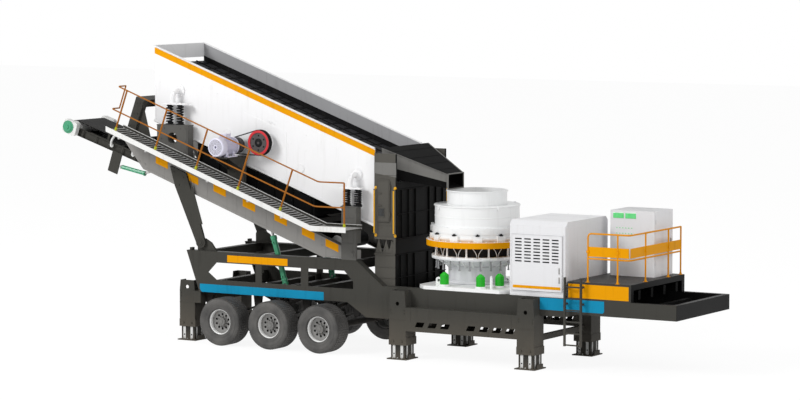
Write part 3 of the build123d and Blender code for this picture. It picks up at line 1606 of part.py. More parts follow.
# Railings: walkway posts square to the deck with two rails, and bent tubes with a wide band on the platform
rail_line_y = -walkway_y[1] + toe_board_plate + post_inset
lean = (sin(radians(screen_slope)), cos(radians(screen_slope)))


def rail_point(x, height, y=rail_line_y):
    """A point at a height square to the sloping deck above x."""
    return (x + lean[0] * height, y, walkway_top(x) + lean[1] * height)


rail_y = -frame_half_width + rail_inset
rail_x = platform_front_x - rail_inset
rail_top_z = platform_top_z + rail_height
rail_bend = 90
band_low_z = platform_top_z + banner_low
far_rail_y = control_y[1]
with BuildPart() as railings:
    post_places = [walkway_x[0] + station for station in post_stations]
    last_post_x = walkway_level_x - last_post_inset
    level_z = walkway_top(walkway_x[1])
    post_feet = [(rail_point(x, 0), rail_point(x, post_height)) for x in post_places]
    post_feet.append(((last_post_x, rail_line_y, level_z), (last_post_x, rail_line_y, level_z + post_height)))
    for foot, top in post_feet:
        tube_run([foot, top], post_radius)
    end_y = rail_line_y + rail_return
    rail_runs = []
    for height in (mid_rail_height, post_height):
        first = rail_point(post_places[0] - rail_overhang, height)
        bend_x = walkway_x[1] + height * rail_bend_shift
        bend_z = walkway_top(bend_x - lean[0] * height) + lean[1] * height
        rail_runs.append(
            [
                (last_post_x, rail_line_y, level_z + height),
                (bend_x, rail_line_y, bend_z),
                first,
                (first[0], end_y, first[2]),
            ]
        )
    tube_run(rail_runs[0] + rail_runs[1][::-1], post_radius * rail_share)
    mirror(about=Plane.XZ)
    tube_run(
        [
            (rail_rear_x, rail_y, platform_top_z),
            (rail_rear_x, rail_y, rail_top_z - rail_bend),
            (rail_rear_x + rail_bend, rail_y, rail_top_z),
            (rail_x - rail_bend, rail_y, rail_top_z),
            (rail_x, rail_y + rail_bend, rail_top_z),
            (rail_x, far_rail_y, rail_top_z),
        ],
        rail_radius,
    )
    tube_run(
        [
            (rail_rear_x, rail_y, band_low_z - banner_gap),
            (rail_x - rail_bend, rail_y, band_low_z - banner_gap),
            (rail_x, rail_y + rail_bend, band_low_z - banner_gap),
            (rail_x, far_rail_y, band_low_z - banner_gap),
        ],
        rail_radius,
    )
    tube_run([(rail_middle_x, rail_y, platform_top_z), (rail_middle_x, rail_y, rail_top_z)], rail_radius)
    for y in rail_cross_y:
        tube_run([(rail_x, y, platform_top_z), (rail_x, y, rail_top_z)], rail_radius)
    band_z = (band_low_z, band_low_z + banner_height)
    block((rail_rear_x - rail_radius, rail_x), (rail_y - banner_plate / 2, rail_y + banner_plate / 2), band_z)
    block((rail_x - banner_plate / 2, rail_x + banner_plate / 2), (rail_y, far_rail_y), band_z)
save(railings, "railings")
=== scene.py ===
from math import cos, pi, radians, sin, tan

import bmesh
import bpy
from mathutils import Matrix, Vector


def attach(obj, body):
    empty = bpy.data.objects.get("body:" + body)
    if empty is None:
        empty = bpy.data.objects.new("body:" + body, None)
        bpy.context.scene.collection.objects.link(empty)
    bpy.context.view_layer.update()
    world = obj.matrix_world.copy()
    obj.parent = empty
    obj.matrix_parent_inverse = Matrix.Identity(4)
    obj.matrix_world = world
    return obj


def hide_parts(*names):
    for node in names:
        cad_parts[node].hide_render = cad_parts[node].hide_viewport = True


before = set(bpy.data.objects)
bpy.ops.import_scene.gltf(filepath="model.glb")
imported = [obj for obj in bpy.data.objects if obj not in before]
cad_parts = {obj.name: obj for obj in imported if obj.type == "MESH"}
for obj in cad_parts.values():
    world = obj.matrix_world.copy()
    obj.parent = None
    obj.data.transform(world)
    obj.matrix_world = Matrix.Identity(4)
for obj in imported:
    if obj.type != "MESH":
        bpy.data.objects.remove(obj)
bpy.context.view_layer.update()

# Studio: the camera stands where the photograph was taken from, far off to the front right of the
# near side. The light is one large soft lamp from the front left, a weak one from the right, and a
# plain bright room.
camera_place = Vector((36.7686, -60.0471, 9.2776))
camera_turn = radians(30.993)
camera_drop = radians(4.812)
camera_focus = 140.5
plant_middle = Vector((0, 0, 2.5))
camera = bpy.data.objects.new("camera", bpy.data.cameras.new("camera"))
bpy.context.scene.collection.objects.link(camera)
camera.location = camera_place
back = Vector((sin(camera_turn) * cos(camera_drop), -cos(camera_turn) * cos(camera_drop), sin(camera_drop)))
camera.rotation_mode = "QUATERNION"
camera.rotation_quaternion = (-back).to_track_quat("-Z", "Y")
camera.data.sensor_width = 36
camera.data.lens = camera_focus
camera.data.clip_end = 500
bpy.context.scene.camera = camera
bpy.context.scene.view_settings.view_transform = "Standard"


def lamp(name, place, size, power):
    """A square soft lamp that faces the middle of the plant."""
    light = bpy.data.lights.new(name, "AREA")
    light.size = size
    light.energy = power
    made = bpy.data.objects.new(name, light)
    made.location = place
    made.rotation_mode = "QUATERNION"
    made.rotation_quaternion = (plant_middle - Vector(place)).to_track_quat("-Z", "Y")
    bpy.context.scene.collection.objects.link(made)


lamp("lamp_left", (-22, -34, 30), 16, 13500)
lamp("lamp_right", (34, -14, 16), 14, 3000)

# Floor: a wide pale sheet in a white room. It shows white to the camera and keeps a faint share of the
# plant's shadow.
floor_half = 120
floor_glow = 0.85
floor_light_strength = 1.06
room_strength = 0.5


class Wire:
    """A node socket in one material. Python's signs between wires and numbers add Math nodes."""

    def __init__(self, tree, socket=None):
        self.tree = tree
        self.socket = socket

    def node(self, kind, settings=None, inputs=None, output=0):
        """Add a node: first its settings, then the values or wires of its sockets."""
        made = self.tree.nodes.new(kind)
        for key, value in (settings or {}).items():
            setattr(made, key, value)
        for key, value in (inputs or {}).items():
            if isinstance(value, Wire):
                self.tree.links.new(value.socket, made.inputs[key])
            else:
                made.inputs[key].default_value = value
        return Wire(self.tree, made.outputs[output])

    def maths(self, operation, *values):
        return self.node("ShaderNodeMath", {"operation": operation}, dict(enumerate(values)))

    def __add__(self, other):
        return self.maths("ADD", self, other)

    def __radd__(self, other):
        return self.maths("ADD", other, self)

    def __sub__(self, other):
        return self.maths("SUBTRACT", self, other)

    def __rsub__(self, other):
        return self.maths("SUBTRACT", other, self)

    def __mul__(self, other):
        return self.maths("MULTIPLY", self, other)

    def __rmul__(self, other):
        return self.maths("MULTIPLY", other, self)


def tint(red, green, blue):
    """A colour as it is mixed from 0 to 255 values, in linear light with alpha."""
    parts = [c / 255 for c in (red, green, blue)]
    return tuple(c / 12.92 if c <= 0.04045 else ((c + 0.055) / 1.055) ** 2.4 for c in parts) + (1.0,)


def mixed(factor, low, high):
    """Mix two colours, numbers or wires, by a wire between 0 and 1."""
    return factor.node("ShaderNodeMix", {"data_type": "RGBA"}, {0: factor, 6: low, 7: high}, output=2)


def noise(place, scale, detail=2.0):
    """Soft random patches: a larger scale makes them smaller, more detail makes them rougher."""
    return place.node("ShaderNodeTexNoise", inputs={"Vector": place, "Scale": scale, "Detail": detail})


def surface(name):
    """Start a material: itself, its shader node and a wire that carries the object's coordinates."""
    material = bpy.data.materials.new(name)
    material.use_nodes = True
    tree = material.node_tree
    shader = tree.nodes["Principled BSDF"]
    place = Wire(tree).node("ShaderNodeTexCoord", output=3)
    return material, shader, place


def feed(shader, **links):
    """Join wires to a shader's sockets, or set their numbers."""
    names = {"colour": "Base Color", "roughness": "Roughness", "metallic": "Metallic", "coat": "Coat Weight",
             "normal": "Normal", "specular": "Specular IOR Level"}
    for key, value in links.items():
        target = shader.inputs[names[key]]
        if isinstance(value, Wire):
            value.tree.links.new(value.socket, target)
        else:
            target.default_value = value


def white_rays(wire):
    """One for rays that come from the camera, from mirrors or through glass, else zero."""
    seen, mirrored, through = (wire.node("ShaderNodeLightPath", output=place) for place in (0, 3, 6))
    return seen.maths("MAXIMUM", seen, seen.maths("MAXIMUM", mirrored, through))


floor_mesh = bmesh.new()
bmesh.ops.create_grid(floor_mesh, x_segments=1, y_segments=1, size=floor_half)
floor_data = bpy.data.meshes.new("floor")
floor_mesh.to_mesh(floor_data)
floor = bpy.data.objects.new("floor", floor_data)
bpy.context.scene.collection.objects.link(floor)
floor_paint, floor_shader, floor_place = surface("floor_paint")
floor_patches = mixed(noise(floor_place, 0.15), tint(244, 244, 244), tint(248, 248, 248))
feed(floor_shader, colour=floor_patches, roughness=0.9)
floor_surface = Wire(floor_place.tree, floor_shader.outputs[0])
floor_light = floor_place.node("ShaderNodeEmission", inputs={"Strength": floor_light_strength})
floor_look = floor_place.node("ShaderNodeMixShader", inputs={
    0: white_rays(floor_place) * floor_glow, 1: floor_surface, 2: floor_light})
floor_place.tree.links.new(floor_look.socket, floor_place.tree.nodes["Material Output"].inputs["Surface"])
floor_data.materials.append(floor_paint)
room = bpy.data.worlds.new("room")
bpy.context.scene.world = room
room.use_nodes = True
room_light = room.node_tree.nodes["Background"]
room_light.inputs["Color"].default_value = (1.0, 1.0, 1.0, 1.0)
room_share = white_rays(Wire(room.node_tree)) * (1 - room_strength) + room_strength
room.node_tree.links.new(room_share.socket, room_light.inputs["Strength"])

# Trailer frame: plate girders, cross members, the beams under the crusher and the outrigger sleeves,
# all welded from steel plate and sprayed in one warm dark grey. Road dust lies on the lower edges.
frame_grey = (68, 67, 63)
frame_dirt = (40, 37, 34)
road_dust = tint(122, 113, 100)


def clamped(wire):
    return wire.node("ShaderNodeClamp", inputs={0: wire})


def bumps(height, strength, distance):
    """Raise and sink a surface by a wire, for the shader's normal."""
    return height.node("ShaderNodeBump", inputs={"Height": height, "Strength": strength,
                                                 "Distance": distance})


def mapped(place, **changes):
    """Stretch, mirror or turn the coordinates that a pattern lies on."""
    return place.node("ShaderNodeMapping", inputs={"Vector": place, **changes})


def axis_of(place, axis):
    return place.node("ShaderNodeSeparateXYZ", inputs={0: place}, output=axis)


def sprayed(name, colour, dirt, dust_height=0.0, roughness=0.42, coat=0.0, mottle=0.12, grain=0.25,
            specular=0.05, inside=None):
    """Sprayed paint on steel: faint mottling, run marks, chips of dirt, orange-peel bump and low dust.

    inside gives another colour to all that lies between the outer faces or in front of an x value: a second
    paint tone on the rims, and painted shade on the gooseneck and the chute.
    """
    material, shader, place = surface(name)
    colour, dirt = tint(*colour), tint(*dirt)
    broad = noise(place, 0.9, 5.0)
    runs = noise(mapped(place, Scale=(7.0, 7.0, 0.6)), 1.6, 3.0)
    specks = noise(place, 38.0)
    darker = tuple(c * (1 - mottle) for c in colour[:3]) + (1.0,)
    shown = mixed(broad, colour, darker)
    shown = mixed(clamped((runs - 0.56) * 3.0) * 0.35, shown, dirt)
    shown = mixed(clamped((specks - 0.68) * 9.0) * 0.3, shown, dirt)
    if dust_height > 0:
        low = clamped((dust_height - axis_of(place, 2)) * (1.0 / dust_height))
        shown = mixed(low * broad * 0.7, shown, road_dust)
    # The inside colour: a second paint tone on the rims, painted shade on the gooseneck and the chute.
    if inside is not None:
        other, half_width, front_x = inside
        across = axis_of(place, 1)
        within = half_width - across.maths("ABSOLUTE", across)
        deeper = place.maths("MAXIMUM", within, axis_of(place, 0) - front_x)
        shown = mixed(clamped(deeper * 400.0), shown, tint(*other))
    feed(shader, colour=shown, roughness=broad * 0.16 + (roughness - 0.08), coat=coat, specular=specular,
         normal=bumps(noise(place, 140.0, 1.0) + specks * 0.5, grain, 0.002))
    return material


def dress(material, *nodes):
    """Give solids of the frame a material in every slot."""
    for node in nodes:
        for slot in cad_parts[node].material_slots:
            slot.material = material


frame_paint = sprayed("frame_paint", frame_grey, frame_dirt, dust_height=1.2)
dress(frame_paint, "side_girder_near", "side_girder_far", "cross_members", "crusher_subframe",
      "outrigger_sleeves")

# Colour strips: thin steel plates riveted flat along the trailer's girders, the same on both sides. The
# lower ones are sprayed blue and the upper ones orange.
sharp_edge = radians(34)
girder_face = -1.3
strip_depth = 0.004
rear_blue = [(-3.86, 1.2), (-3.82, 1.165), (-0.515, 1.165), (-0.515, 1.352), (-3.88, 1.352), (-3.88, 1.24)]
front_blue = [(4.99, 1.3), (6.5, 1.3), (6.54, 1.33), (6.54, 1.56), (4.99, 1.56)]


def corners_of(made):
    return [g for g in made if isinstance(g, bmesh.types.BMVert)]


def piece(shape, name, material, body="plant", smooth=False, twin=False):
    """Close a finished mesh, mirror it to the far side too if it has a twin, paint it and place it."""
    bmesh.ops.remove_doubles(shape, verts=shape.verts, dist=0.00005)
    bmesh.ops.recalc_face_normals(shape, faces=shape.faces)
    if twin:
        copied = bmesh.ops.duplicate(shape, geom=shape.verts[:] + shape.edges[:] + shape.faces[:])["geom"]
        bmesh.ops.scale(shape, vec=(1, -1, 1), verts=corners_of(copied))
        bmesh.ops.reverse_faces(shape, faces=[g for g in copied if isinstance(g, bmesh.types.BMFace)])
    for face in shape.faces:
        face.smooth = smooth
    data = bpy.data.meshes.new(name)
    shape.to_mesh(data)
    shape.free()
    made = bpy.data.objects.new(name, data)
    bpy.context.scene.collection.objects.link(made)
    data.materials.append(material)
    if smooth:
        data.set_sharp_from_angle(angle=sharp_edge)
    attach(made, body)
    return made


def panel(shape, outline, y, depth):
    """Add a flat plate with an outline of (x, z) points whose outer face is at y, going depth inwards."""
    face = shape.faces.new([shape.verts.new((x, y, z)) for x, z in outline])
    pushed = bmesh.ops.extrude_face_region(shape, geom=[face])["geom"]
    bmesh.ops.translate(shape, vec=(0, depth, 0), verts=corners_of(pushed))


def box_line(x, z):
    """Outline of a plain rectangle between two x and two z values."""
    return [(x[0], z[0]), (x[1], z[0]), (x[1], z[1]), (x[0], z[1])]


def strips(name, outlines, paint):
    """Fix flat plates on the girders' outer faces."""
    plates = bmesh.new()
    for outline in outlines:
        panel(plates, outline, girder_face - strip_depth, strip_depth)
    piece(plates, name, paint, twin=True)


blue_paint = sprayed("blue_paint", (24, 140, 180), (20, 80, 110), roughness=0.35)
strips("blue_strips", (rear_blue, front_blue), blue_paint)
orange_paint = sprayed("orange_paint", (233, 158, 4), (150, 90, 10), roughness=0.35)
strips("orange_strips", (box_line((-3.12, -1.48), (1.885, 2.045)), box_line((5.68, 7.12), (1.6, 1.9))),
       orange_paint)

# Frame fittings: welded joint bands, lug plates, pins in the sleeves' collars and bolt heads on the
# brackets. They are plain steel parts in the frame's paint.
sleeve_places = ((-4.32, -1.18), (1.56, -1.55), (4.77, -1.55))
sleeve_half = 0.213
web_y = -1.1
out = (0, -1, 0)


def block(shape, x, y, z, bevel=0.0):
    """Add a box between two x, two y and two z values, with an edge bevel if one is given."""
    made = bmesh.ops.create_cube(shape, size=1.0)["verts"]
    bmesh.ops.scale(shape, vec=(x[1] - x[0], y[1] - y[0], z[1] - z[0]), verts=made)
    bmesh.ops.translate(shape, vec=((x[0] + x[1]) / 2, (y[0] + y[1]) / 2, (z[0] + z[1]) / 2), verts=made)
    if bevel > 0:
        edges = list({edge for corner in made for edge in corner.link_edges})
        bmesh.ops.bevel(shape, geom=edges, offset=bevel, segments=2, profile=0.5, affect="EDGES", material=-1)
    return made


def about(middle, half):
    """The two ends of a stretch that reaches half its width to each side of a middle."""
    return middle - half, middle + half


def disc(shape, place, direction, radius, depth, sides=24, top=None):
    """Add a round, or many-sided, stub that starts at a place and runs along a direction."""
    made = bmesh.ops.create_cone(shape, cap_ends=True, segments=sides, radius1=radius,
                                 radius2=radius if top is None else top, depth=depth)["verts"]
    bmesh.ops.translate(shape, vec=(0, 0, depth / 2), verts=made)
    turn = Vector(direction).to_track_quat("Z", "Y").to_matrix().to_4x4()
    bmesh.ops.transform(shape, matrix=Matrix.Translation(place) @ turn, verts=made)


def studs(shape, places, y, radius, depth, sides=6):
    """Add a bolt head, or another stub, at each (x, z) place on a near face at y."""
    for x, z in places:
        disc(shape, (x, y, z), out, radius, depth, sides)


def every(first, second):
    """Each value of the first row with each value of the second."""
    return [(a, b) for a in first for b in second]


fittings = bmesh.new()
for sleeve_x, sleeve_y in sleeve_places:
    studs(fittings, every(about(sleeve_x, 0.11), (0.41,)), sleeve_y, 0.022, 0.02, 16)
    block(fittings, about(sleeve_x, sleeve_half), (sleeve_y - 0.004, sleeve_y), (0.876, 0.884))
    studs(fittings, every(about(sleeve_x, 0.17), (1.03, 1.1)), sleeve_y, 0.013, 0.012)
for seam_x in (1.9, 4.42):
    block(fittings, about(seam_x, 0.005), (-1.553, -1.55), (0.86, 1.16))
for lug_z in (1.1, 0.86):
    block(fittings, (-4.6, -4.53), (-1.05, -1.0), about(lug_z, 0.05), 0.008)
for rib_x in (-3.72, -2.26, -1.03):
    block(fittings, about(rib_x, 0.012), (web_y - 0.18, web_y), (1.19, 1.45))
for rib_x in (1.5, 2.4, 3.3, 4.2, 4.9):
    block(fittings, about(rib_x, 0.01), (-1.279, web_y), (1.19, 1.55))
block(fittings, (-4.2, -4.13), (-1.24, -1.14), (2.111, 2.17), 0.006)
block(fittings, (5.6, 5.606), (-1.303, girder_face), (1.17, 1.3))
piece(fittings, "frame_fittings", frame_paint, twin=True)

# Outrigger legs: square steel tubes that slide in the sleeves, with bright wear strips down their faces
# and, near the foot of each strip, a dark disc of painted shade for its locking hole.
leg_paint = sprayed("leg_paint", (58, 57, 54), (35, 33, 30), dust_height=0.25)
strip_white = sprayed("strip_white", (226, 226, 224), (120, 116, 108), dust_height=0.12)
# Painted shade: near-black for holes, openings and louvres.
hole_shade = sprayed("hole_shade", (16, 15, 14), (8, 8, 8), roughness=0.8)
leg_half_x = 0.18
leg_half_y = 0.19
wear_depth = 0.004
wear_z = (0.03, 0.88)
foot_reach = 0.235
leg_places = {"rear": (-4.32, 0.96), "middle": (1.56, 1.33), "front": (4.77, 1.33)}
both_sides = ((-1, "near"), (1, "far"))
for leg_name, (leg_x, leg_y) in leg_places.items():
    for side, side_name in both_sides:
        leg_node = f"leg_{leg_name}_{side_name}"
        dress(leg_paint, leg_node)
        wear = bmesh.new()
        holes = bmesh.new()
        centre_y = side * leg_y
        for along, facing in every((-0.1, 0.1), (-1, 1)):
            face_y = centre_y + facing * leg_half_y
            face_x = leg_x + facing * leg_half_x
            strip_x = sorted((face_x, face_x + facing * wear_depth))
            strip_y = sorted((face_y, face_y + facing * wear_depth))
            block(wear, about(leg_x + along, 0.034), strip_y, wear_z, 0.001)
            block(wear, strip_x, about(centre_y + along, 0.026), wear_z, 0.001)
            disc(holes, (leg_x + along, face_y + facing * 0.003, 0.13), (0, facing, 0), 0.017, 0.0025, 20)
        for gusset_x in (-0.12, 0.0, 0.12):
            block(wear, about(leg_x + gusset_x, 0.005), about(centre_y, foot_reach), (0.026, 0.05))
        piece(wear, f"wear_strips_{leg_name}_{side_name}", strip_white, leg_node)
        piece(holes, f"lock_holes_{leg_name}_{side_name}", hole_shade, leg_node)

# Axles and suspension: round beam axles on leaf springs, in black chassis paint, with brake chambers
# bolted behind them.
axle_places = (-3.097, -1.772, -0.447)
chamber_line = (1, 0, 0.12)
up = (0, 0, 1)
chassis_black = sprayed("chassis_black", (44, 43, 42), (96, 86, 72), dust_height=0.8, roughness=0.55)
dress(chassis_black, "axles")
brakes = bmesh.new()
for axle_x in axle_places:
    disc(brakes, (axle_x + 0.02, -0.72, 0.58), chamber_line, 0.085, 0.09, 20)
    disc(brakes, (axle_x + 0.11, -0.72, 0.591), chamber_line, 0.098, 0.016, 20)
    disc(brakes, (axle_x + 0.126, -0.72, 0.593), chamber_line, 0.085, 0.09, 20, top=0.066)
    for clamp_x, clamp_y in every(about(axle_x, 0.075), (-1.12, -1.0)):
        disc(brakes, (clamp_x, clamp_y, 0.66), up, 0.013, 0.155, 10)
    block(brakes, about(axle_x, 0.1), (-1.13, -0.99), (0.775, 0.8), 0.004)
piece(brakes, "brake_chambers", chassis_black, twin=True)

# Tyres: wide single road tyres in black rubber that has weathered to grey, with block treads, ribbed
# shoulders and raised rings on the sidewalls. The half profile runs from the bead to the middle of the tread.
wheel_z = 0.55
tyre_centre_y = 1.44
tread_cuts = 60
tread_start = 0.522
tread_gap = 0.0065
tread_slope = 0.002
tread_rise = 0.0125
half_tyre = [(0.21, 0.29), (0.24, 0.31), (0.249, 0.36), (0.244, 0.365), (0.258, 0.42), (0.26, 0.45),
             (0.254, 0.455), (0.249, 0.49), (0.236, 0.518), (0.2, 0.5345), (0.12, 0.536), (0.04, 0.536)]
tyre_profile = [(-across, radius) for across, radius in half_tyre] + half_tyre[::-1]
rubber, rubber_shader, rubber_place = surface("tyre_rubber")
rubber_grain = noise(rubber_place, 90.0, 3.0)
feed(rubber_shader, roughness=rubber_grain * 0.15 + 0.68, normal=bumps(rubber_grain, 0.35, 0.002),
     colour=mixed(clamped((noise(rubber_place, 2.4, 6.0) - 0.35) * 2.2), tint(64, 63, 62), tint(100, 98, 95)))


def revolved(shape, points, centre, axis, steps):
    """Turn a closed line of points once round an axis."""
    corners = [shape.verts.new(point) for point in points]
    edges = [shape.edges.new((corners[i - 1], corners[i])) for i in range(len(corners))]
    bmesh.ops.spin(shape, geom=corners + edges, cent=centre, axis=axis, angle=2 * pi, steps=steps,
                   use_merge=True)


def turned(shape, profile, x, z, steps=64):
    """Turn a closed profile of (y, radius) points once round a line that runs across the plant."""
    revolved(shape, [(x, y, z + radius) for y, radius in profile], (x, 0, z), (0, 1, 0), steps)


def fit_tyre(number, axle_x, side, side_name):
    """Turn a tyre, raise the blocks of its tread and put it on its wheel."""
    profile = [(side * (tyre_centre_y + across), radius) for across, radius in tyre_profile]
    tyre = bmesh.new()
    turned(tyre, profile, axle_x, wheel_z, tread_cuts)
    bmesh.ops.recalc_face_normals(tyre, faces=tyre.faces)
    hub_line = Vector((axle_x, side * tyre_centre_y, wheel_z))
    treads = [face for face in tyre.faces
              if tread_start < ((face.calc_center_median() - hub_line) * Vector((1, 0, 1))).length]
    bmesh.ops.inset_individual(tyre, faces=treads, thickness=tread_gap, depth=0.0)
    bmesh.ops.inset_individual(tyre, faces=treads, thickness=tread_slope, depth=tread_rise)
    wheel = f"wheel_{number}_{side_name}"
    tyre_piece = piece(tyre, f"road_tyre_{number}_{side_name}", rubber, wheel)
    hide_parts(f"tyre_{number}_{side_name}")


# Rims: pressed steel discs sprayed white outside and grey within, with a rolled lip whose white is also a
# painted highlight, ten nuts on washers, ten dark discs of painted shade in the vent holes, and a grey cast
# hub cover that small bolts hold.
rim_disc_y = 1.532
hub_end_y = 1.591
nut_count = 10
nut_circle = 0.122
cap_bolt_count = 8
cap_bolt_circle = 0.074
vent_circle = 0.165
nut_stack = ((0.019, 0.004, 16), (0.0155, 0.022, 6), (0.0085, 0.034, 8))
lip_profile = ((1.6, 0.266), (1.628, 0.27), (1.634, 0.28), (1.632, 0.291), (1.62, 0.294), (1.6, 0.286))
rim_colours = ((238, 238, 237), (190, 188, 184))
# The lip's white is its paint and also a painted highlight along the rolled edge.
lip_white_and_highlight = sprayed("lip_white_and_highlight", *rim_colours, roughness=0.28, mottle=0.05, specular=0.4)
rim_paint = sprayed("rim_paint", *rim_colours, roughness=0.28, mottle=0.05, specular=0.4,
                    inside=((138, 137, 135), rim_disc_y + 0.004, 100.0))
hub_grey = sprayed("hub_grey", (128, 127, 125), (80, 78, 75), roughness=0.4)


def circle(count, radius, first=0.0):
    """Pairs of offsets, level and upright, of places evenly round a circle from a first angle on."""
    turns = [2 * pi * k / count + first for k in range(count)]
    return [(radius * cos(turn), radius * sin(turn)) for turn in turns]


def fit_rim(number, axle_x, side, side_name):
    """Paint a rim and put on its nuts, hub cover, dark discs of painted shade in its vent holes, and its lip
    with a painted highlight.
    """
    wheel = f"wheel_{number}_{side_name}"
    outward = (0, side, 0)
    dress(rim_paint, f"rim_{number}_{side_name}")
    nuts = bmesh.new()
    for nut_x, nut_z in circle(nut_count, nut_circle, 0.15):
        for radius, height, sides in nut_stack:
            nut_place = (axle_x + nut_x, side * rim_disc_y, wheel_z + nut_z)
            disc(nuts, nut_place, outward, radius, height, sides)
    for bolt_x, bolt_z in circle(cap_bolt_count, cap_bolt_circle):
        disc(nuts, (axle_x + bolt_x, side * hub_end_y, wheel_z + bolt_z), outward, 0.008, 0.011, 6)
    disc(nuts, (axle_x, side * hub_end_y, wheel_z), outward, 0.05, 0.014, 28, top=0.042)
    piece(nuts, f"wheel_nuts_{number}_{side_name}", hub_grey, wheel)
    hub = bmesh.new()
    disc(hub, (axle_x, side * rim_disc_y, wheel_z), outward, 0.0965, 0.061, 36, top=0.0955)
    piece(hub, f"hub_cover_{number}_{side_name}", hub_grey, wheel, smooth=True)
    # Dark discs of painted shade over the vent holes.
    vents = bmesh.new()
    for vent_z, vent_x in circle(nut_count, vent_circle):
        disc(vents, (axle_x + vent_x, side * rim_disc_y, wheel_z + vent_z), outward, 0.0275, 0.0012, 20)
    piece(vents, f"rim_slots_{number}_{side_name}", hole_shade, wheel)
    lip = bmesh.new()
    turned(lip, [(side * across, radius) for across, radius in lip_profile], axle_x, wheel_z, 56)
    piece(lip, f"rim_lip_{number}_{side_name}", lip_white_and_highlight, wheel, smooth=True)


for number, axle_x in enumerate(axle_places, 1):
    for side, side_name in both_sides:
        fit_tyre(number, axle_x, side, side_name)
        fit_rim(number, axle_x, side, side_name)

# Gooseneck and platform: stiffeners and a cable tray under the deck, a ring of bolts round the kingpin, and a
# raised-pattern steel floor on the platform. The inner faces, the front end face and the parts under the deck
# are painted black as painted shade.
# Painted shade: black for the gooseneck's inner and front faces and for the parts under its deck.
shade_black = (22, 22, 22)
gooseneck_paint = sprayed("gooseneck_paint", frame_grey, frame_dirt, dust_height=1.2,
                          inside=(shade_black, 1.292, 8.24))
dress(gooseneck_paint, "gooseneck", "platform")
under_deck_shade = sprayed("under_deck_shade", shade_black, (44, 42, 40), roughness=0.7)
tread_plate, plate_shader, plate_place = surface("tread_plate")


def waves(place, direction, scale):
    """Soft parallel lines across one direction."""
    return place.node("ShaderNodeTexWave", {"bands_direction": direction}, {"Vector": place, "Scale": scale})


plate_turned = mapped(plate_place, Scale=(-1.0, 1.0, 1.0))
tread_height = waves(plate_place, "DIAGONAL", 14.0) * waves(plate_turned, "DIAGONAL", 14.0)
plate_dirt = noise(plate_place, 3.0, 5.0)
feed(plate_shader, colour=mixed(plate_dirt, tint(78, 76, 74), tint(50, 48, 46)), metallic=0.1, specular=0.15,
     roughness=plate_dirt * 0.2 + 0.45, normal=bumps(clamped((tread_height - 0.45) * 4.0), 0.6, 0.003))
deck_sheet = bmesh.new()
block(deck_sheet, (5.66, 7.16), (-1.29, 1.29), (1.9401, 1.944), 0.001)
piece(deck_sheet, "platform_floor", tread_plate)
# The stiffeners and the cable tray under the deck are black as painted shade.
under_deck = bmesh.new()
for rib_x in (5.2, 5.55, 6.3, 6.65, 7.0, 7.7, 8.0):
    block(under_deck, about(rib_x, 0.008), (-1.294, -1.175), (1.26, 1.555))
for rib_y in (-0.9, -0.3):
    block(under_deck, (7.172, 7.176), about(rib_y, 0.05), (1.6, 1.8), 0.001)
block(under_deck, (6.02, 6.4), (-0.5, 0.0), (1.256, 1.33), 0.01)
piece(under_deck, "gooseneck_ribs", under_deck_shade, twin=True)
bare_steel, steel_shader, steel_place = surface("bare_steel")
steel_fine = noise(steel_place, 160.0)
feed(steel_shader, colour=mixed(noise(steel_place, 5.0, 4.0), tint(176, 176, 174), tint(150, 148, 144)),
     metallic=0.85, roughness=steel_fine * 0.2 + 0.25, normal=bumps(steel_fine, 0.15, 0.001))
kingpin_x = 7.75
coupler_z = 1.228
coupling = bmesh.new()
for bolt_x, bolt_y in circle(12, 0.13):
    disc(coupling, (kingpin_x + bolt_x, bolt_y, coupler_z), (0, 0, -1), 0.012, 0.009, 6)
piece(coupling, "kingpin_bolts", bare_steel)

# Platform railing: bent steel tube sprayed orange, with a wide sheet band fixed along its middle and a
# small foot plate under each post.
deck_z = 1.94
rail_top = 2.99
rail_low = 2.455
rail_rear_x = 6.12
rail_side_post_x = 6.83
front_rail_x = 7.12
near_rail_y = -1.25
far_rail_y = 1.2
front_post_ys = (-0.51, 0.59)
rail_radius = 0.019
rail_corner = 0.09
arc_cuts = 4
band_z = (2.5, 2.71)
clip_z = (2.58, 2.63)
rail_orange = sprayed("rail_orange", (226, 150, 18), (150, 90, 14), roughness=0.38)


def bent(points, bend):
    """The points of a path with each inner corner turned into a short arc."""
    path = [Vector(p) for p in points]
    line = [path[0]]
    for before, corner, after in zip(path, path[1:], path[2:]):
        start = corner + (before - corner).normalized() * bend
        end = corner + (after - corner).normalized() * bend
        for t in (step / arc_cuts for step in range(arc_cuts + 1)):
            line.append(start * (1 - t) ** 2 + corner * 2 * t * (1 - t) + end * t ** 2)
    return line + [path[-1]]


def add_tube(shape, points, radius, bend=0.0):
    """Add a round tube along points, whose inner corners are bent where a bend is given."""
    path = bent(points, bend) if bend > 0 else points
    line = bpy.data.curves.new("tube_line", "CURVE")
    line.dimensions = "3D"
    line.bevel_depth = radius
    line.bevel_resolution = 2
    line.use_fill_caps = True
    run = line.splines.new("POLY")
    run.points.add(len(path) - 1)
    for point, place in zip(run.points, path):
        point.co = (*place, 1)
    holder = bpy.data.objects.new("tube_holder", line)
    data = bpy.data.meshes.new_from_object(holder)
    bpy.data.objects.remove(holder)
    bpy.data.curves.remove(line)
    shape.from_mesh(data)
    bpy.data.meshes.remove(data)


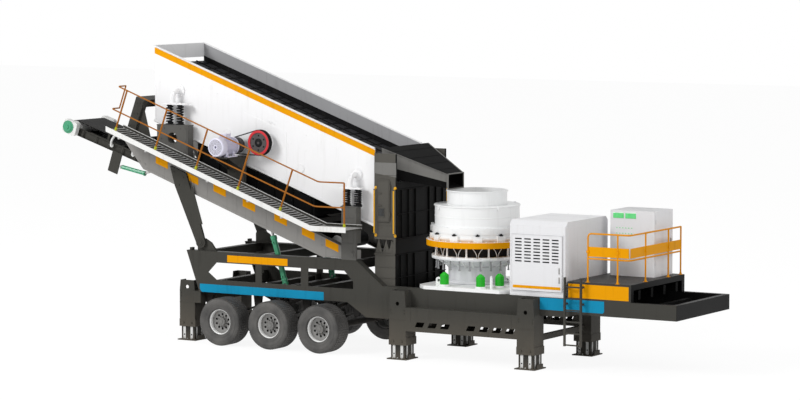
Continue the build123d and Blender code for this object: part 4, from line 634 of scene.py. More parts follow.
platform_rail = bmesh.new()
for height, foot in ((rail_top, [(rail_rear_x, near_rail_y, deck_z)]), (rail_low, [])):
    add_tube(platform_rail, foot + [(rail_rear_x, near_rail_y, height), (front_rail_x, near_rail_y, height),
                                    (front_rail_x, far_rail_y, height)], rail_radius, rail_corner)
rail_posts = [(rail_side_post_x, near_rail_y)] + [(front_rail_x, y) for y in (*front_post_ys, far_rail_y)]
for post_x, post_y in rail_posts:
    add_tube(platform_rail, [(post_x, post_y, deck_z), (post_x, post_y, rail_top)], rail_radius)
foot_z = (deck_z, deck_z + 0.01)
for post_x, post_y in rail_posts + [(rail_rear_x, near_rail_y)]:
    block(platform_rail, (post_x - 0.045, post_x + 0.04), (post_y - 0.04, post_y + 0.045), foot_z, 0.002)
    disc(platform_rail, (post_x, post_y, foot_z[1]), up, 0.03, 0.05, 16, top=0.02)
piece(platform_rail, "platform_rail", rail_orange, smooth=True)
band = bmesh.new()
block(band, (6.101, front_rail_x - 0.02), about(near_rail_y, 0.003), band_z, 0.001)
block(band, about(front_rail_x, 0.003), (near_rail_y + 0.02, far_rail_y), band_z, 0.001)
for clip_x in (rail_rear_x, rail_side_post_x):
    block(band, about(clip_x, 0.03), (near_rail_y - 0.026, near_rail_y - 0.003), clip_z, 0.004)
for clip_y in front_post_ys:
    block(band, (front_rail_x + 0.003, front_rail_x + 0.026), about(clip_y, 0.03), clip_z, 0.004)
piece(band, "rail_band", orange_paint)

# Walkway railings: posts square to the sloping deck and two thin bent rails, in brown-orange paint that
# has weathered, with a yellow-green clamp at the foot of each post.
slope_angle = radians(20)
slope_rise = tan(slope_angle)
slope_up = Vector((sin(slope_angle), 0, cos(slope_angle)))
walk_rear = -6.01
walk_knee = -0.42
walk_front = 0.5
walk_rear_z = 4.88
knee_z = walk_rear_z - (walk_knee - walk_rear) * slope_rise
walk_rail_y = -1.955
walk_rail_radius = 0.0168
walk_post_radius = 0.021
post_height = 1.04
rail_heights = (0.49, post_height)
post_feet_x = [walk_rear + station for station in (0.23, 1.34, 2.46, 3.6, 4.74)]
last_post_x = walk_front - 0.06
last_post = Vector((last_post_x, walk_rail_y, knee_z))
clamp_rise = Vector((0, 0, 0.005))


def walk_z(x):
    """The height of the sloping deck."""
    return walk_rear_z - (x - walk_rear) * slope_rise


def above_deck(x, height):
    """The point at a height square to the sloping deck, from the foot place x."""
    return Vector((x, walk_rail_y, walk_z(x))) + slope_up * height


rail_brown = sprayed("rail_brown", (160, 100, 38), (104, 66, 26), roughness=0.5)
clamp_green = sprayed("clamp_green", (176, 178, 44), (110, 110, 30), roughness=0.45)
walk_rails = bmesh.new()
for foot_x in post_feet_x:
    add_tube(walk_rails, [above_deck(foot_x, 0), above_deck(foot_x, post_height)], walk_post_radius)
add_tube(walk_rails, [last_post, last_post + Vector((0, 0, post_height))], walk_post_radius)
rail_ends = []
for height in rail_heights:
    knee = above_deck(walk_knee + height * 0.18 - slope_up.x * height, height)
    rear = above_deck(post_feet_x[0] - 0.25, height)
    rail_ends.append(rear + Vector((0, 0.3, 0)))
    front = last_post + Vector((0, 0, height))
    add_tube(walk_rails, [front, knee, rear, rail_ends[-1]], walk_rail_radius, 0.07)
add_tube(walk_rails, rail_ends, walk_rail_radius)
walk_piece = piece(walk_rails, "walkway_rails", rail_brown, smooth=True, twin=True)
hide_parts("railings")
clamps = bmesh.new()
for foot_x in post_feet_x:
    disc(clamps, above_deck(foot_x, clamp_rise.z), slope_up, 0.034, 0.13, 14, top=0.028)
disc(clamps, last_post + clamp_rise, up, 0.034, 0.13, 14, top=0.028)
piece(clamps, "post_clamps", clamp_green, twin=True)

# Walkway decks: open steel grating between flat toe boards, on square arms from the inclined frame.
# The outer board is sprayed white and its top edge is folded inwards.
walk_grey = sprayed("walk_grey", (178, 178, 177), (110, 106, 100), roughness=0.5)
board_white = sprayed("board_white", (232, 232, 230), (150, 140, 126), roughness=0.35)
deck_inner_y = -1.3
deck_outer_y = -2.0
grate_depth = 0.03
grate_step = 0.1
bearer_count = 17
bearer_step = 0.04


def deck_plate(shape, low, high, y, depth):
    """Add a plate that follows the deck, sloping and then level, between two heights off it."""
    line = [(walk_rear, walk_rear_z), (walk_knee, knee_z), (walk_front, knee_z)]
    panel(shape, [(x, z + low) for x, z in line] + [(x, z + high) for x, z in line[::-1]], y, depth)


grating = bmesh.new()
for step in range(int((walk_front - walk_rear) / grate_step)):
    bar_x = walk_rear + (step + 0.5) * grate_step
    bar_z = max(knee_z, walk_z(bar_x))
    block(grating, about(bar_x, 0.028), (-1.99, -1.31), (bar_z - 0.012, bar_z))
for edge_y in (-1.996, -1.314):
    deck_plate(grating, -grate_depth, 0.002, edge_y, 0.01)
for arm_x in (-5.65, -4.9, -3.2, -2.1, -1.2):
    arm_top = walk_z(arm_x) - grate_depth
    arm_low = arm_top - 0.07
    block(grating, about(arm_x, 0.03), (-1.99, -1.24), (arm_low, arm_top), 0.004)
    panel(grating, box_line(about(arm_x, 0.004), (arm_low, arm_top - 0.2)), -1.34, 0.1)
grating_piece = piece(grating, "walkway_grating", walk_grey, twin=True)
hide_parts("walkways")
bearers = bmesh.new()
for step in range(bearer_count):
    deck_plate(bearers, -grate_depth, -0.013, -1.97 + bearer_step * step, 0.014)
piece(bearers, "grating_bearers", frame_paint, twin=True)
boards = bmesh.new()
deck_plate(boards, -0.06, 0.06, deck_outer_y, 0.006)
deck_plate(boards, 0.052, 0.06, deck_outer_y + 0.006, 0.014)
deck_plate(boards, 0.061, 0.068, deck_inner_y - 0.03, 0.03)
piece(boards, "toe_boards", board_white, twin=True)
# The inner boards are in the frame's dark grey, their own paint and also painted shade along the deck's inner
# edge.
inner_boards = bmesh.new()
deck_plate(inner_boards, -0.06, 0.06, deck_inner_y - 0.008, 0.008)
piece(inner_boards, "inner_toe_boards", frame_paint, twin=True)

# Ladder: two flat rails with round knurled rungs, welded from bar and sprayed in the frame's grey. It is
# bolted to the platform's edge.
ladder_y = -1.42
rung_start_x = 5.676
first_knurl_x = 5.7
first_rung_z = 0.588
rung_pitch = 0.25
knurl_pitch = 0.036
dress(frame_paint, "ladder")
rungs = bmesh.new()
for step in range(6):
    rung_z = first_rung_z + rung_pitch * step
    disc(rungs, (rung_start_x, ladder_y, rung_z), (1, 0, 0), 0.0165, 0.348, 14)
    for knurl in range(9):
        disc(rungs, (first_knurl_x + knurl_pitch * knurl, ladder_y, rung_z), (1, 0, 0), 0.018, 0.008, 14)
piece(rungs, "ladder_rungs", frame_paint)

# Generator cabinet: a folded sheet-steel housing sprayed white, with a louvred door, a raised door
# frame, roof seams and air grilles in its ends.
cabinet_white = sprayed("cabinet_white", (226, 226, 228), (204, 203, 201), roughness=0.32, mottle=0.03,
                        grain=0.15, specular=0.3)
dress(cabinet_white, "generator_cabinet", "generator_door", "control_cabinet")
door_y = (-1.3045, -1.3)
edge_half = 0.006
louvre_columns = [4.905 + 0.225 * k for k in range(-2, 3)]
louvre_rows = [2.805 - 0.069 * k for k in range(8)]
# Painted shade: a dark sheet behind the louvres, and the louvre slats themselves dark.
shade = bmesh.new()
block(shade, (4.36, 5.45), (-1.272, -1.271), (2.27, 2.86))
piece(shade, "louvre_shade", hole_shade)
slats = bmesh.new()
for column_x, row_z in every(louvre_columns, louvre_rows):
    block(slats, about(column_x, 0.0875), (-1.2995, -1.297), (row_z + 0.0155, row_z + 0.0185))
    block(slats, about(column_x, 0.0825), (-1.2945, -1.2925), (row_z - 0.006, row_z + 0.015))
piece(slats, "louvre_slats", hole_shade, "generator_door")
door_band = bmesh.new()
block(door_band, (4.325, 5.485), door_y, (1.74, 1.8), 0.001)
piece(door_band, "door_band", orange_paint, "generator_door")


def edging(shape, x, z, y, half, bevel, overlap=0.0):
    """Add four bars round a rectangle on a near face. The level ones reach past it by the overlap."""
    for edge_z in z:
        block(shape, (x[0] - overlap, x[1] + overlap), y, about(edge_z, half), bevel)
    for edge_x in x:
        block(shape, about(edge_x, half), y, (z[0] + overlap, z[1] - overlap), bevel)


door_edge = bmesh.new()
edging(door_edge, (4.298, 5.512), (1.698, 2.892), door_y, edge_half, 0.001, overlap=edge_half)
piece(door_edge, "door_edge", cabinet_white, "generator_door")
door_locks = bmesh.new()
for lock_z in (1.95, 2.15):
    block(door_locks, (5.44, 5.47), (-1.309, -1.3), about(lock_z, 0.07), 0.006)
    disc(door_locks, (5.455, -1.307, lock_z + 0.02), out, 0.009, 0.008, 12)
piece(door_locks, "door_locks", bare_steel, "generator_door")
cabinet_trim = bmesh.new()
for seam_y in (-0.62, 0.08):
    block(cabinet_trim, (4.34, 5.47), about(seam_y, 0.012), (3.195, 3.2), 0.0015)
for seam_x in (4.62, 5.18):
    block(cabinet_trim, about(seam_x, 0.01), (-1.14, 0.7), (3.194, 3.1995), 0.0015)
for frame_z in (1.665, 2.915):
    block(cabinet_trim, (4.262, 5.548), (-1.278, -1.27), about(frame_z, 0.012), 0.002)
for frame_x in (4.269, 5.541):
    block(cabinet_trim, about(frame_x, 0.007), (-1.278, -1.27), (1.677, 2.903), 0.002)
for edge_y in (-1.15, 0.62):
    block(cabinet_trim, (5.59, 5.594), about(edge_y, 0.006), (1.62, 3.05), 0.001)
for edge_z in (1.66, 3.06):
    block(cabinet_trim, (5.59, 5.594), (-1.15, 0.62), about(edge_z, 0.006), 0.001)
block(cabinet_trim, (4.24, 5.57), (0.72, 0.735), (1.62, 3.12), 0.006)
for rise in (0.06 * k for k in range(12)):
    block(cabinet_trim, (4.5, 5.3), (0.733, 0.745), (2.2 + rise, 2.235 + rise), 0.003)
    block(cabinet_trim, (4.206, 4.22), (-0.7, 0.3), (2.0 + rise, 2.035 + rise), 0.003)
piece(cabinet_trim, "cabinet_trim", cabinet_white)

# Control cabinet: a tall white steel box with two green displays and rows of green lamps beside a curved
# light panel on its near face, a door seam with hinges and a handle on the front face.
control_near_y = 0.3
control_front_x = 6.93
seam_x = (control_front_x, control_front_x + 0.004)
seam_ends_y = (0.34, 1.16)
seam_ends_z = (2.02, 3.3)
green_light, light_shader, light_place = surface("green_light")
feed(light_shader, colour=mixed(noise(light_place, 12.0), tint(70, 206, 104), tint(120, 232, 148)),
     roughness=0.25, coat=0.5)
displays = bmesh.new()
for display_x in ((5.93, 6.185), (6.225, 6.48)):
    block(displays, display_x, (control_near_y - 0.012, control_near_y), (3.2, 3.315), 0.004)
for lamp_x, lamp_z in every([6.02 + 0.072 * column for column in range(6)], (2.99, 2.87)):
    disc(displays, (lamp_x, control_near_y, lamp_z), out, 0.013, 0.01, 14, top=0.01)
piece(displays, "control_displays", green_light)
control_trim = bmesh.new()
for display_x, low_z in every(((5.92, 6.195), (6.215, 6.49)), (3.19, 3.315)):
    block(control_trim, display_x, (control_near_y - 0.006, control_near_y), (low_z, low_z + 0.01), 0.001)
light_face = [(5.87, 3.355), (5.87, 2.8), (6.5, 2.8), (6.6, 2.82), (6.69, 2.87), (6.76, 2.95), (6.81, 3.07),
              (6.83, 3.2), (6.83, 3.355)]
panel(control_trim, light_face, control_near_y - 0.003, 0.003)
for seam_y in seam_ends_y:
    block(control_trim, seam_x, about(seam_y, 0.005), seam_ends_z, 0.001)
for seam_z in seam_ends_z:
    block(control_trim, seam_x, seam_ends_y, about(seam_z, 0.005), 0.001)
for hinge_z in (2.2, 3.1):
    disc(control_trim, (6.94, 0.35, hinge_z), up, 0.012, 0.1, 14)
block(control_trim, (5.87, 6.91), (0.32, 1.18), (3.365, 3.37), 0.002)
block(control_trim, (5.846, 5.85), (0.36, 1.14), (2.05, 3.3), 0.001)
piece(control_trim, "control_trim", cabinet_white)
handles = bmesh.new()
block(handles, (6.932, 6.95), (1.07, 1.1), (2.55, 2.75), 0.006)
disc(handles, (control_front_x, 1.085, 2.6), (1, 0, 0), 0.022, 0.01, 20)
piece(handles, "control_handle", bare_steel)

# Crusher body: a cast steel cone crusher on a thick base plate. The lower frame is sprayed a light
# silver-white with ribs under its flange, whose rim is scalloped between the rods that hold the top down.
crusher_centre = Vector((2.7, 0.0, 0.0))
rim_z = 2.226
rim_depth = 0.045
rim_inner = 0.84
scallop = ((-14.4, 0.955), (-13, 1.0), (-9, 1.014), (-4.5, 1.018), (0, 1.02), (4.5, 1.018), (9, 1.014),
           (13, 1.0), (14.4, 0.955))
hanging_circle = 0.905
crusher_white = sprayed("crusher_white", (240, 241, 241), (200, 200, 200), roughness=0.34, mottle=0.04,
                        specular=0.4)
crusher_silver = sprayed("crusher_silver", (222, 223, 226), (150, 150, 152), roughness=0.36, mottle=0.06,
                         specular=0.4)
# Near-black cast paint for heads, hubs and springs, also used as painted shade in the crusher's cavity.
dark_cast_and_shade = sprayed("dark_cast_and_shade", (38, 38, 39), (20, 20, 20), roughness=0.6)
rod_grey = sprayed("rod_grey", (158, 158, 160), (110, 110, 112), roughness=0.4, specular=0.3)
dress(crusher_white, "crusher_base", "crusher_bowl", "crusher_hopper")
dress(crusher_silver, "crusher_frame")


def spun(shape, *profiles):
    """Turn closed profiles of (radius, z) points once round the crusher's upright axis."""
    for profile in profiles:
        revolved(shape, [(crusher_centre.x, -radius, z) for radius, z in profile], crusher_centre, up, 96)


def round_place(radius, angle, z):
    """A place round the crusher's axis, at an angle in degrees from its near side."""
    return crusher_centre + Vector((radius * sin(radians(angle)), -radius * cos(radians(angle)), z))


def swung(shape, made, angle, centre, axis="Z"):
    """Turn what was made round the origin by an angle in degrees, then move it to a centre."""
    bmesh.ops.rotate(shape, cent=(0, 0, 0), matrix=Matrix.Rotation(radians(angle), 3, axis), verts=made)
    bmesh.ops.translate(shape, vec=centre, verts=made)


rod_angles = [15 + 30 * k for k in range(12)]
# A thin dark wall just inside the rim: painted shade for the crusher's cavity.
cavity = bmesh.new()
spun(cavity, box_line((0.832, 0.838), (2.262, 2.478)))
piece(cavity, "crusher_cavity", dark_cast_and_shade, smooth=True)
scallops = bmesh.new()
for rod_angle in rod_angles:
    edge = [round_place(reach, rod_angle + step, rim_z) for step, reach in scallop]
    edge += [round_place(rim_inner, rod_angle + step, rim_z) for step, reach in scallop[::-1]]
    face = scallops.faces.new([scallops.verts.new(place) for place in edge])
    pushed = bmesh.ops.extrude_face_region(scallops, geom=[face])["geom"]
    bmesh.ops.translate(scallops, vec=(0, 0, rim_depth), verts=corners_of(pushed))
piece(scallops, "scalloped_rim", crusher_white)
ribs = bmesh.new()
for k in range(24):
    made = block(ribs, (-0.014, 0.014), (-0.96, -0.66), (2.03, 2.2))
    low = [corner for corner in made if corner.co.z < 2.1 and corner.co.y < -0.8]
    bmesh.ops.translate(ribs, vec=(0, 0.26, 0), verts=low)
    swung(ribs, made, 7.5 + 15 * k, crusher_centre)
for k, lean in every(range(12), (-1, 1)):
    add_tube(ribs, [round_place(0.875 + 0.02 * t, 30 * k + lean * (1.0 + 6.5 * t * t), 2.27 + 0.2 * t)
                    for t in (0, 0.25, 0.5, 0.75, 1.0)], 0.008)
piece(ribs, "crusher_ribs", crusher_white)
hanging_rods = bmesh.new()
for k in range(24):
    rod_place = round_place(hanging_circle, 4 + 15 * k, 2.0)
    disc(hanging_rods, rod_place, up, 0.017, 0.225, 14)
    disc(hanging_rods, rod_place, (0, 0, -1), 0.024, 0.03, 6)
piece(hanging_rods, "hanging_rods", rod_grey, smooth=True)
bands = bmesh.new()
spun(bands, box_line((0.695, 0.712), (1.66, 1.7)), box_line((0.655, 0.668), (2.0, 2.03)))
piece(bands, "frame_bands", crusher_silver, smooth=True)

# Crusher ring and collar: the adjustment ring is a machined band sprayed orange with a white upper edge.
# The white locking collar bolted on it carries twelve clamp blocks with dark heads.
ring_bore = 0.782
ring_radius = 1.131
ring_chamfer = 0.006
ring_low = 2.48
ring_top = 2.62
collar_low = ring_top + 0.0005
collar_top = 2.78
collar_radius = 0.99
collar_chamfer = 0.004
clamp_circle = 1.035
clamp_z = 2.748
adjust_ring = bmesh.new()
spun(adjust_ring, [(ring_bore, ring_low), (ring_radius - ring_chamfer, ring_low),
                   (ring_radius, ring_low + ring_chamfer), (ring_radius, ring_top - ring_chamfer),
                   (ring_radius - ring_chamfer, ring_top), (ring_bore, ring_top)])
ring_piece = piece(adjust_ring, "adjust_ring", orange_paint, smooth=True)
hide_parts("crusher_ring")
lock_collar = bmesh.new()
spun(lock_collar, [(ring_bore, collar_low), (collar_radius, collar_low),
                   (collar_radius, collar_top - collar_chamfer), (collar_radius - collar_chamfer, collar_top),
                   (ring_bore, collar_top)])
for k in range(12):
    made = block(lock_collar, (-0.096, 0.096), (-1.05, -0.93), (collar_low, clamp_z))
    swung(lock_collar, made, 30 * k, crusher_centre)
piece(lock_collar, "lock_collar", crusher_white, smooth=True)
rim_lines = bmesh.new()
spun(rim_lines, box_line((1.1, 1.13), (2.612, 2.622)))
for k in range(36):
    disc(rim_lines, round_place(1.085, 10 * k, ring_top), up, 0.014, 0.016, 6)
piece(rim_lines, "ring_bolts", crusher_white)
heads = bmesh.new()
for k in range(12):
    disc(heads, round_place(clamp_circle, 30 * k, clamp_z), up, 0.045, 0.028, 6)
    disc(heads, round_place(clamp_circle, 30 * k, clamp_z + 0.028), up, 0.02, 0.02, 10)
for k in range(72):
    disc(heads, round_place(0.97, 2.5 + 5 * k, 2.91), up, 0.011, 0.012, 6)
piece(heads, "clamp_heads", dark_cast_and_shade)
collar = bmesh.new()
spun(collar, [(0.985, 2.65), (1.008, 2.65), (1.012, 2.66), (1.012, 2.7), (1.008, 2.71), (0.985, 2.71)],
     [(0.94, 2.908), (0.996, 2.908), (0.99, 2.918), (0.952, 2.93), (0.94, 2.96)],
     [(0.94, 3.12), (0.949, 3.125), (0.949, 3.14), (0.94, 3.145)],
     [(0.92, 3.372), (0.95, 3.352), (0.962, 3.36), (0.962, 3.378), (0.95, 3.388), (0.93, 3.388)],
     box_line((0.66, 0.672), (3.4, 3.425)))
piece(collar, "collar_bands", crusher_white, smooth=True)
eyes = bmesh.new()
for k in range(4):
    swung(eyes, block(eyes, (-0.012, 0.012), (-0.985, -0.93), (3.3, 3.4)), -32 + 90 * k, crusher_centre)
piece(eyes, "lifting_eyes", crusher_white)

# Crusher hydraulics: thin tie rods with small jacks all round under the ring, and green pressure
# bottles in ribbed casings that stand on white feet on the base plate beside a lifting lug.
bottle_green = sprayed("bottle_green", (40, 184, 44), (20, 110, 28), roughness=0.3, coat=0.4, mottle=0.06)
rod_circle = 0.945
rod_low_z = 2.26
base_top_z = 1.65
bottle_foot = 0.035
bottle_radius = 0.092
bottle_rib_count = 16
bottle_places = ((2.51, -1.12), (3.42, -1.12), (3.69, -0.75))
tie_rods = bmesh.new()
for rod_angle in rod_angles:
    disc(tie_rods, round_place(rod_circle, rod_angle, rod_low_z), up, 0.02, ring_low - rod_low_z, 16)
    disc(tie_rods, round_place(rod_circle, rod_angle, rod_low_z), up, 0.03, 0.035, 16)
    disc(tie_rods, round_place(rod_circle, rod_angle, ring_low - 0.03), up, 0.026, 0.03, 6)
for (foot_x, foot_y), side in every(bottle_places, (-1, 1)):
    disc(tie_rods, (foot_x, side * -foot_y, base_top_z), up, 0.122, 0.022, 32)
    disc(tie_rods, (foot_x, side * -foot_y, base_top_z + 0.022), up, 0.108, 0.013, 32, top=0.1)
rod_piece = piece(tie_rods, "tie_rods", crusher_white)
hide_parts("crusher_hydraulics")
lug_face_y = -1.135
lug_depth = 0.03
lug_hole = Vector((2.37, 0.0, 1.764))
lug_hole_radius = 0.035
lug_outline = [(2.3, 1.65), (2.44, 1.65), (2.44, 1.79), (2.425, 1.825), (2.39, 1.84), (2.35, 1.84),
               (2.315, 1.825), (2.3, 1.79)]
hole_outline = [(lug_hole.x + hole_x, lug_hole.z + hole_z) for hole_x, hole_z in circle(28, lug_hole_radius)]
lug = bmesh.new()
lug_edges = []
for outline in (lug_outline, hole_outline):
    corners = [lug.verts.new((x, lug_face_y, z)) for x, z in outline]
    lug_edges += [lug.edges.new((corners[i - 1], corners[i])) for i in range(len(corners))]
filled = bmesh.ops.triangle_fill(lug, use_beauty=True, use_dissolve=False, edges=lug_edges)["geom"]
lug_faces = [g for g in filled if isinstance(g, bmesh.types.BMFace)]
pushed = bmesh.ops.extrude_face_region(lug, geom=lug_faces)["geom"]
bmesh.ops.translate(lug, vec=(0, lug_depth, 0), verts=corners_of(pushed))
block(lug, (2.362, 2.378), (lug_face_y + lug_depth, -1.04), (1.65, 1.72))
piece(lug, "lifting_lug", crusher_white, twin=True)
bottles = bmesh.new()
for foot_x, foot_y in bottle_places:
    low = Vector((foot_x, foot_y, base_top_z + bottle_foot))
    disc(bottles, low, up, bottle_radius, 0.21, 28)
    disc(bottles, low + Vector((0, 0, 0.21)), up, bottle_radius, 0.035, 28, top=0.056)
    disc(bottles, low + Vector((0, 0, 0.245)), up, 0.05, 0.022, 20, top=0.03)
    for k in range(bottle_rib_count):
        rib = block(bottles, (-0.008, 0.008), (0.088, 0.098), (0.0, 0.2))
        swung(bottles, rib, 360 * k / bottle_rib_count, low)
piece(bottles, "pressure_bottles", bottle_green, twin=True)
valve_post = bmesh.new()
disc(valve_post, (3.69, -1.12, base_top_z), up, 0.032, 0.25, 20)
disc(valve_post, (3.69, -1.12, base_top_z + 0.25), up, 0.02, 0.03, 16)
for turner_z, turner_radius, turner_height in ((2.62, 0.075, 0.05), (2.67, 0.055, 0.22), (2.89, 0.035, 0.05)):
    disc(valve_post, round_place(1.045, -78, turner_z), up, turner_radius, turner_height, 28)
piece(valve_post, "valve_post", crusher_white, smooth=True)

# Chute: a tall welded box between screen and crusher over a lower box, in frame grey with its front faces
# painted black as painted shade, with pressed ribs, stiffeners on its front, bolts round the pointed feet and
# two bent grab bars in yellow.
# Painted shade: all that lies in front of x 1.236, the front faces and the front ribs, is black.
chute_grey = sprayed("chute_grey", (88, 86, 81), (60, 58, 55), dust_height=1.4, roughness=0.45,
                     inside=((20, 20, 20), 0.0, 1.236))
grab_yellow = sprayed("grab_yellow", (232, 176, 52), (150, 104, 20), roughness=0.36)
dress(chute_grey, "chute_housing", "chute_door")
chute_near_y = -1.09
lower_near_y = -1.1
grab_z = (2.68, 3.74)
grab_y = -1.165
chute_ribs = bmesh.new()
for rib_z in (1.5, 1.74, 1.98):
    block(chute_ribs, (0.71, 1.24), (lower_near_y - 0.012, lower_near_y), about(rib_z, 0.008), 0.002)
block(chute_ribs, (0.7, 1.25), (lower_near_y - 0.018, lower_near_y), (2.245, 2.28), 0.003)
studs(chute_ribs, every((0.735, 0.8, 0.86, 0.91, 0.99, 1.06, 1.12, 1.2), (2.262,)), lower_near_y - 0.018,
      0.009, 0.008)
studs(chute_ribs, every((0.79, 0.97, 1.15), (2.34, 2.41)), chute_near_y, 0.011, 0.008)
for edge_x in (0.69, 1.255):
    block(chute_ribs, (edge_x, edge_x + 0.015), (chute_near_y - 0.004, chute_near_y), (2.6, 4.3), 0.001)
for row_z in (2.66, 2.9, 4.02):
    block(chute_ribs, (0.705, 1.255), (chute_near_y - 0.006, chute_near_y), about(row_z, 0.006), 0.001)
studs(chute_ribs, ((1.13, 3.1), (1.13, 3.8)), chute_near_y, 0.01, 0.01)
for front_x, rib_near_y, rib_zs in (((1.27, 1.3), -1.08, (2.62, 3.16, 3.7)),
                                    ((1.24, 1.27), chute_near_y, (1.25, 1.74, 2.25))):
    for rib_y in (-0.9, -0.6, -0.3):
        block(chute_ribs, front_x, about(rib_y, 0.006), (rib_zs[0], rib_zs[2]))
    for rib_z in rib_zs:
        block(chute_ribs, front_x, (rib_near_y, 0.0), about(rib_z, 0.006))
piece(chute_ribs, "chute_ribs", chute_grey, twin=True)
grab_bars = bmesh.new()
for bar_x in (0.728, 1.23):
    add_tube(grab_bars, [(bar_x, chute_near_y, grab_z[0]), (bar_x, grab_y, grab_z[0] + 0.04),
                         (bar_x, grab_y, grab_z[1] - 0.04), (bar_x, chute_near_y, grab_z[1])], 0.0165, 0.035)
    studs(grab_bars, every((bar_x,), grab_z), chute_near_y, 0.034, 0.008, 20)
piece(grab_bars, "grab_bars", grab_yellow, smooth=True, twin=True)

# Chute door: the inspection door in the chute's near side, a folded steel plate in the chute's grey with
# raised edges, a small dark pane and two turning locks.
glass_dark, glass_shader, glass_place = surface("glass_dark")
glass_streaks = noise(glass_place, 5.0)
feed(glass_shader, colour=mixed(glass_streaks, tint(28, 30, 30), tint(48, 50, 50)),
     roughness=glass_streaks * 0.1 + 0.1)
door_face_y = -1.115
lock_face_y = door_face_y - 0.012
door_trim = bmesh.new()
for edge_z in (3.0, 3.9):
    block(door_trim, (0.8, 1.065), (door_face_y - 0.006, door_face_y), about(edge_z, 0.005), 0.001)
for edge_x in (0.79, 1.075):
    block(door_trim, about(edge_x, 0.005), (door_face_y - 0.006, door_face_y), (3.01, 3.89), 0.001)
edging(door_trim, (0.8, 0.965), (3.1, 3.29), (door_face_y - 0.01, door_face_y), 0.008, 0.002)
for lock_z in (3.35, 3.62):
    disc(door_trim, (0.815, door_face_y, lock_z), out, 0.02, 0.012, 20)
    block(door_trim, (0.805, 0.895), (lock_face_y - 0.01, lock_face_y), about(lock_z, 0.009), 0.003)
piece(door_trim, "chute_door_trim", chute_grey, "chute_door")
pane = bmesh.new()
block(pane, (0.808, 0.957), (door_face_y - 0.004, door_face_y), (3.108, 3.282))
piece(pane, "chute_door_pane", glass_dark, "chute_door")

# Chute hood: a tapering trough of folded plate. Its top and underside are lined in black rubber, and
# broad grey bands run down both sides and round its mouth over the crusher.
hood_grey = sprayed("hood_grey", (120, 119, 116), (80, 78, 75), roughness=0.45)
hood_black = sprayed("hood_black", (16, 16, 16), (36, 35, 33), roughness=0.75)
dress(hood_black, "chute_hood")
hood_rear = (Vector((0.83, -1.0, 3.96)), Vector((0.83, -1.0, 4.62)))
hood_mouth = (Vector((2.15, -0.32, 3.72)), Vector((2.15, -0.32, 4.03)))
hood_out = Vector((0.458, -0.889, 0.0))
mouth_lip_x = (2.13, 2.165)


def hood_side(along, rise, off=0.0):
    """A point on the hood's near side: a share along it, a share up it and a distance off it."""
    low = hood_rear[0].lerp(hood_mouth[0], along)
    high = hood_rear[1].lerp(hood_mouth[1], along)
    return low.lerp(high, rise) + hood_out * off


def hood_plate(shape, along, rise, off):
    """Add a thin plate on the hood's near side between two shares along it and two shares up it."""
    corners = box_line(along, rise)
    inner, outer = ([shape.verts.new(hood_side(a, u, distance)) for a, u in corners] for distance in off)
    shape.faces.new(inner)
    shape.faces.new(outer)
    for i in range(4):
        shape.faces.new((inner[i - 1], inner[i], outer[i], outer[i - 1]))


hood_bands = bmesh.new()
hood_plate(hood_bands, (0.0, 1.0), (0.42, 1.0), (0.0, 0.005))
hood_plate(hood_bands, (0.0, 1.0), (0.97, 1.0), (0.005, 0.03))
hood_plate(hood_bands, (0.97, 1.0), (0.0, 1.0), (0.005, 0.028))
for share in (0.4, 0.5, 0.6, 0.7, 0.8, 0.9):
    disc(hood_bands, hood_side(share, 0.9, 0.004), hood_out, 0.01, 0.01, 6)
for lip_z in ((4.03, 4.052), (3.698, 3.72)):
    block(hood_bands, mouth_lip_x, (-0.34, 0.0), lip_z, 0.002)
piece(hood_bands, "hood_bands", hood_grey, twin=True)
top_plate = bmesh.new()
panel(top_plate, [(0.69, 4.06), (1.27, 3.98), (1.27, 4.3), (0.69, 4.3)], chute_near_y - 0.003, 0.003)
piece(top_plate, "chute_top_plate", hood_grey, twin=True)
hood_ribs = bmesh.new()
for share in (0.15, 0.4, 0.62, 0.82):
    rib = hood_side(share, 1.0)
    block(hood_ribs, about(rib.x, 0.006), (rib.y + 0.02, 0.0), about(rib.z, 0.004))
piece(hood_ribs, "hood_ribs", hood_black, twin=True)

# Screen body: two deep side plates of steel sprayed glossy white, with a folded top edge, an orange band
# under it, a doubler plate round the exciter, rubber edges inside and rows of bolt heads.
screen_white = sprayed("screen_white", (239, 239, 240), (206, 205, 203), roughness=0.3, mottle=0.03,
                       grain=0.15, specular=0.4)
liner_grey = sprayed("liner_grey", (168, 168, 170), (100, 98, 96), roughness=0.5)
edge_rubber = sprayed("edge_rubber", (24, 24, 25), (66, 62, 56), roughness=0.7)
screen_rear = -5.32
screen_front = 0.65
screen_rear_z = 6.79
screen_depth = 1.76
screen_face_y = -1.0
screen_inner_y = screen_face_y + 0.014
tube_drop = 1.25
dress(screen_white, "screen_sides", "screen_cross_tubes")


def below_edge(x, drop):
    """The height of a point on the screen's side, a distance below its sloping top edge."""
    return screen_rear_z - (x - screen_rear) * slope_rise - drop


def screen_strip(shape, x, drops, y, depth):
    """Add a plate along the screen's slope between two x values and an upper and a lower drop."""
    panel(shape, [(x[0], below_edge(x[0], drops[1])), (x[1], below_edge(x[1], drops[1])),
                  (x[1], below_edge(x[1], drops[0])), (x[0], below_edge(x[0], drops[0]))], y, depth)


def round_studs(shape, middle, offsets, y, radius, depth, sides=6):
    """Add stubs on a near face at offsets from the middle of a wheel or flange."""
    studs(shape, [(middle[0] + x, middle[1] + z) for x, z in offsets], y, radius, depth, sides)


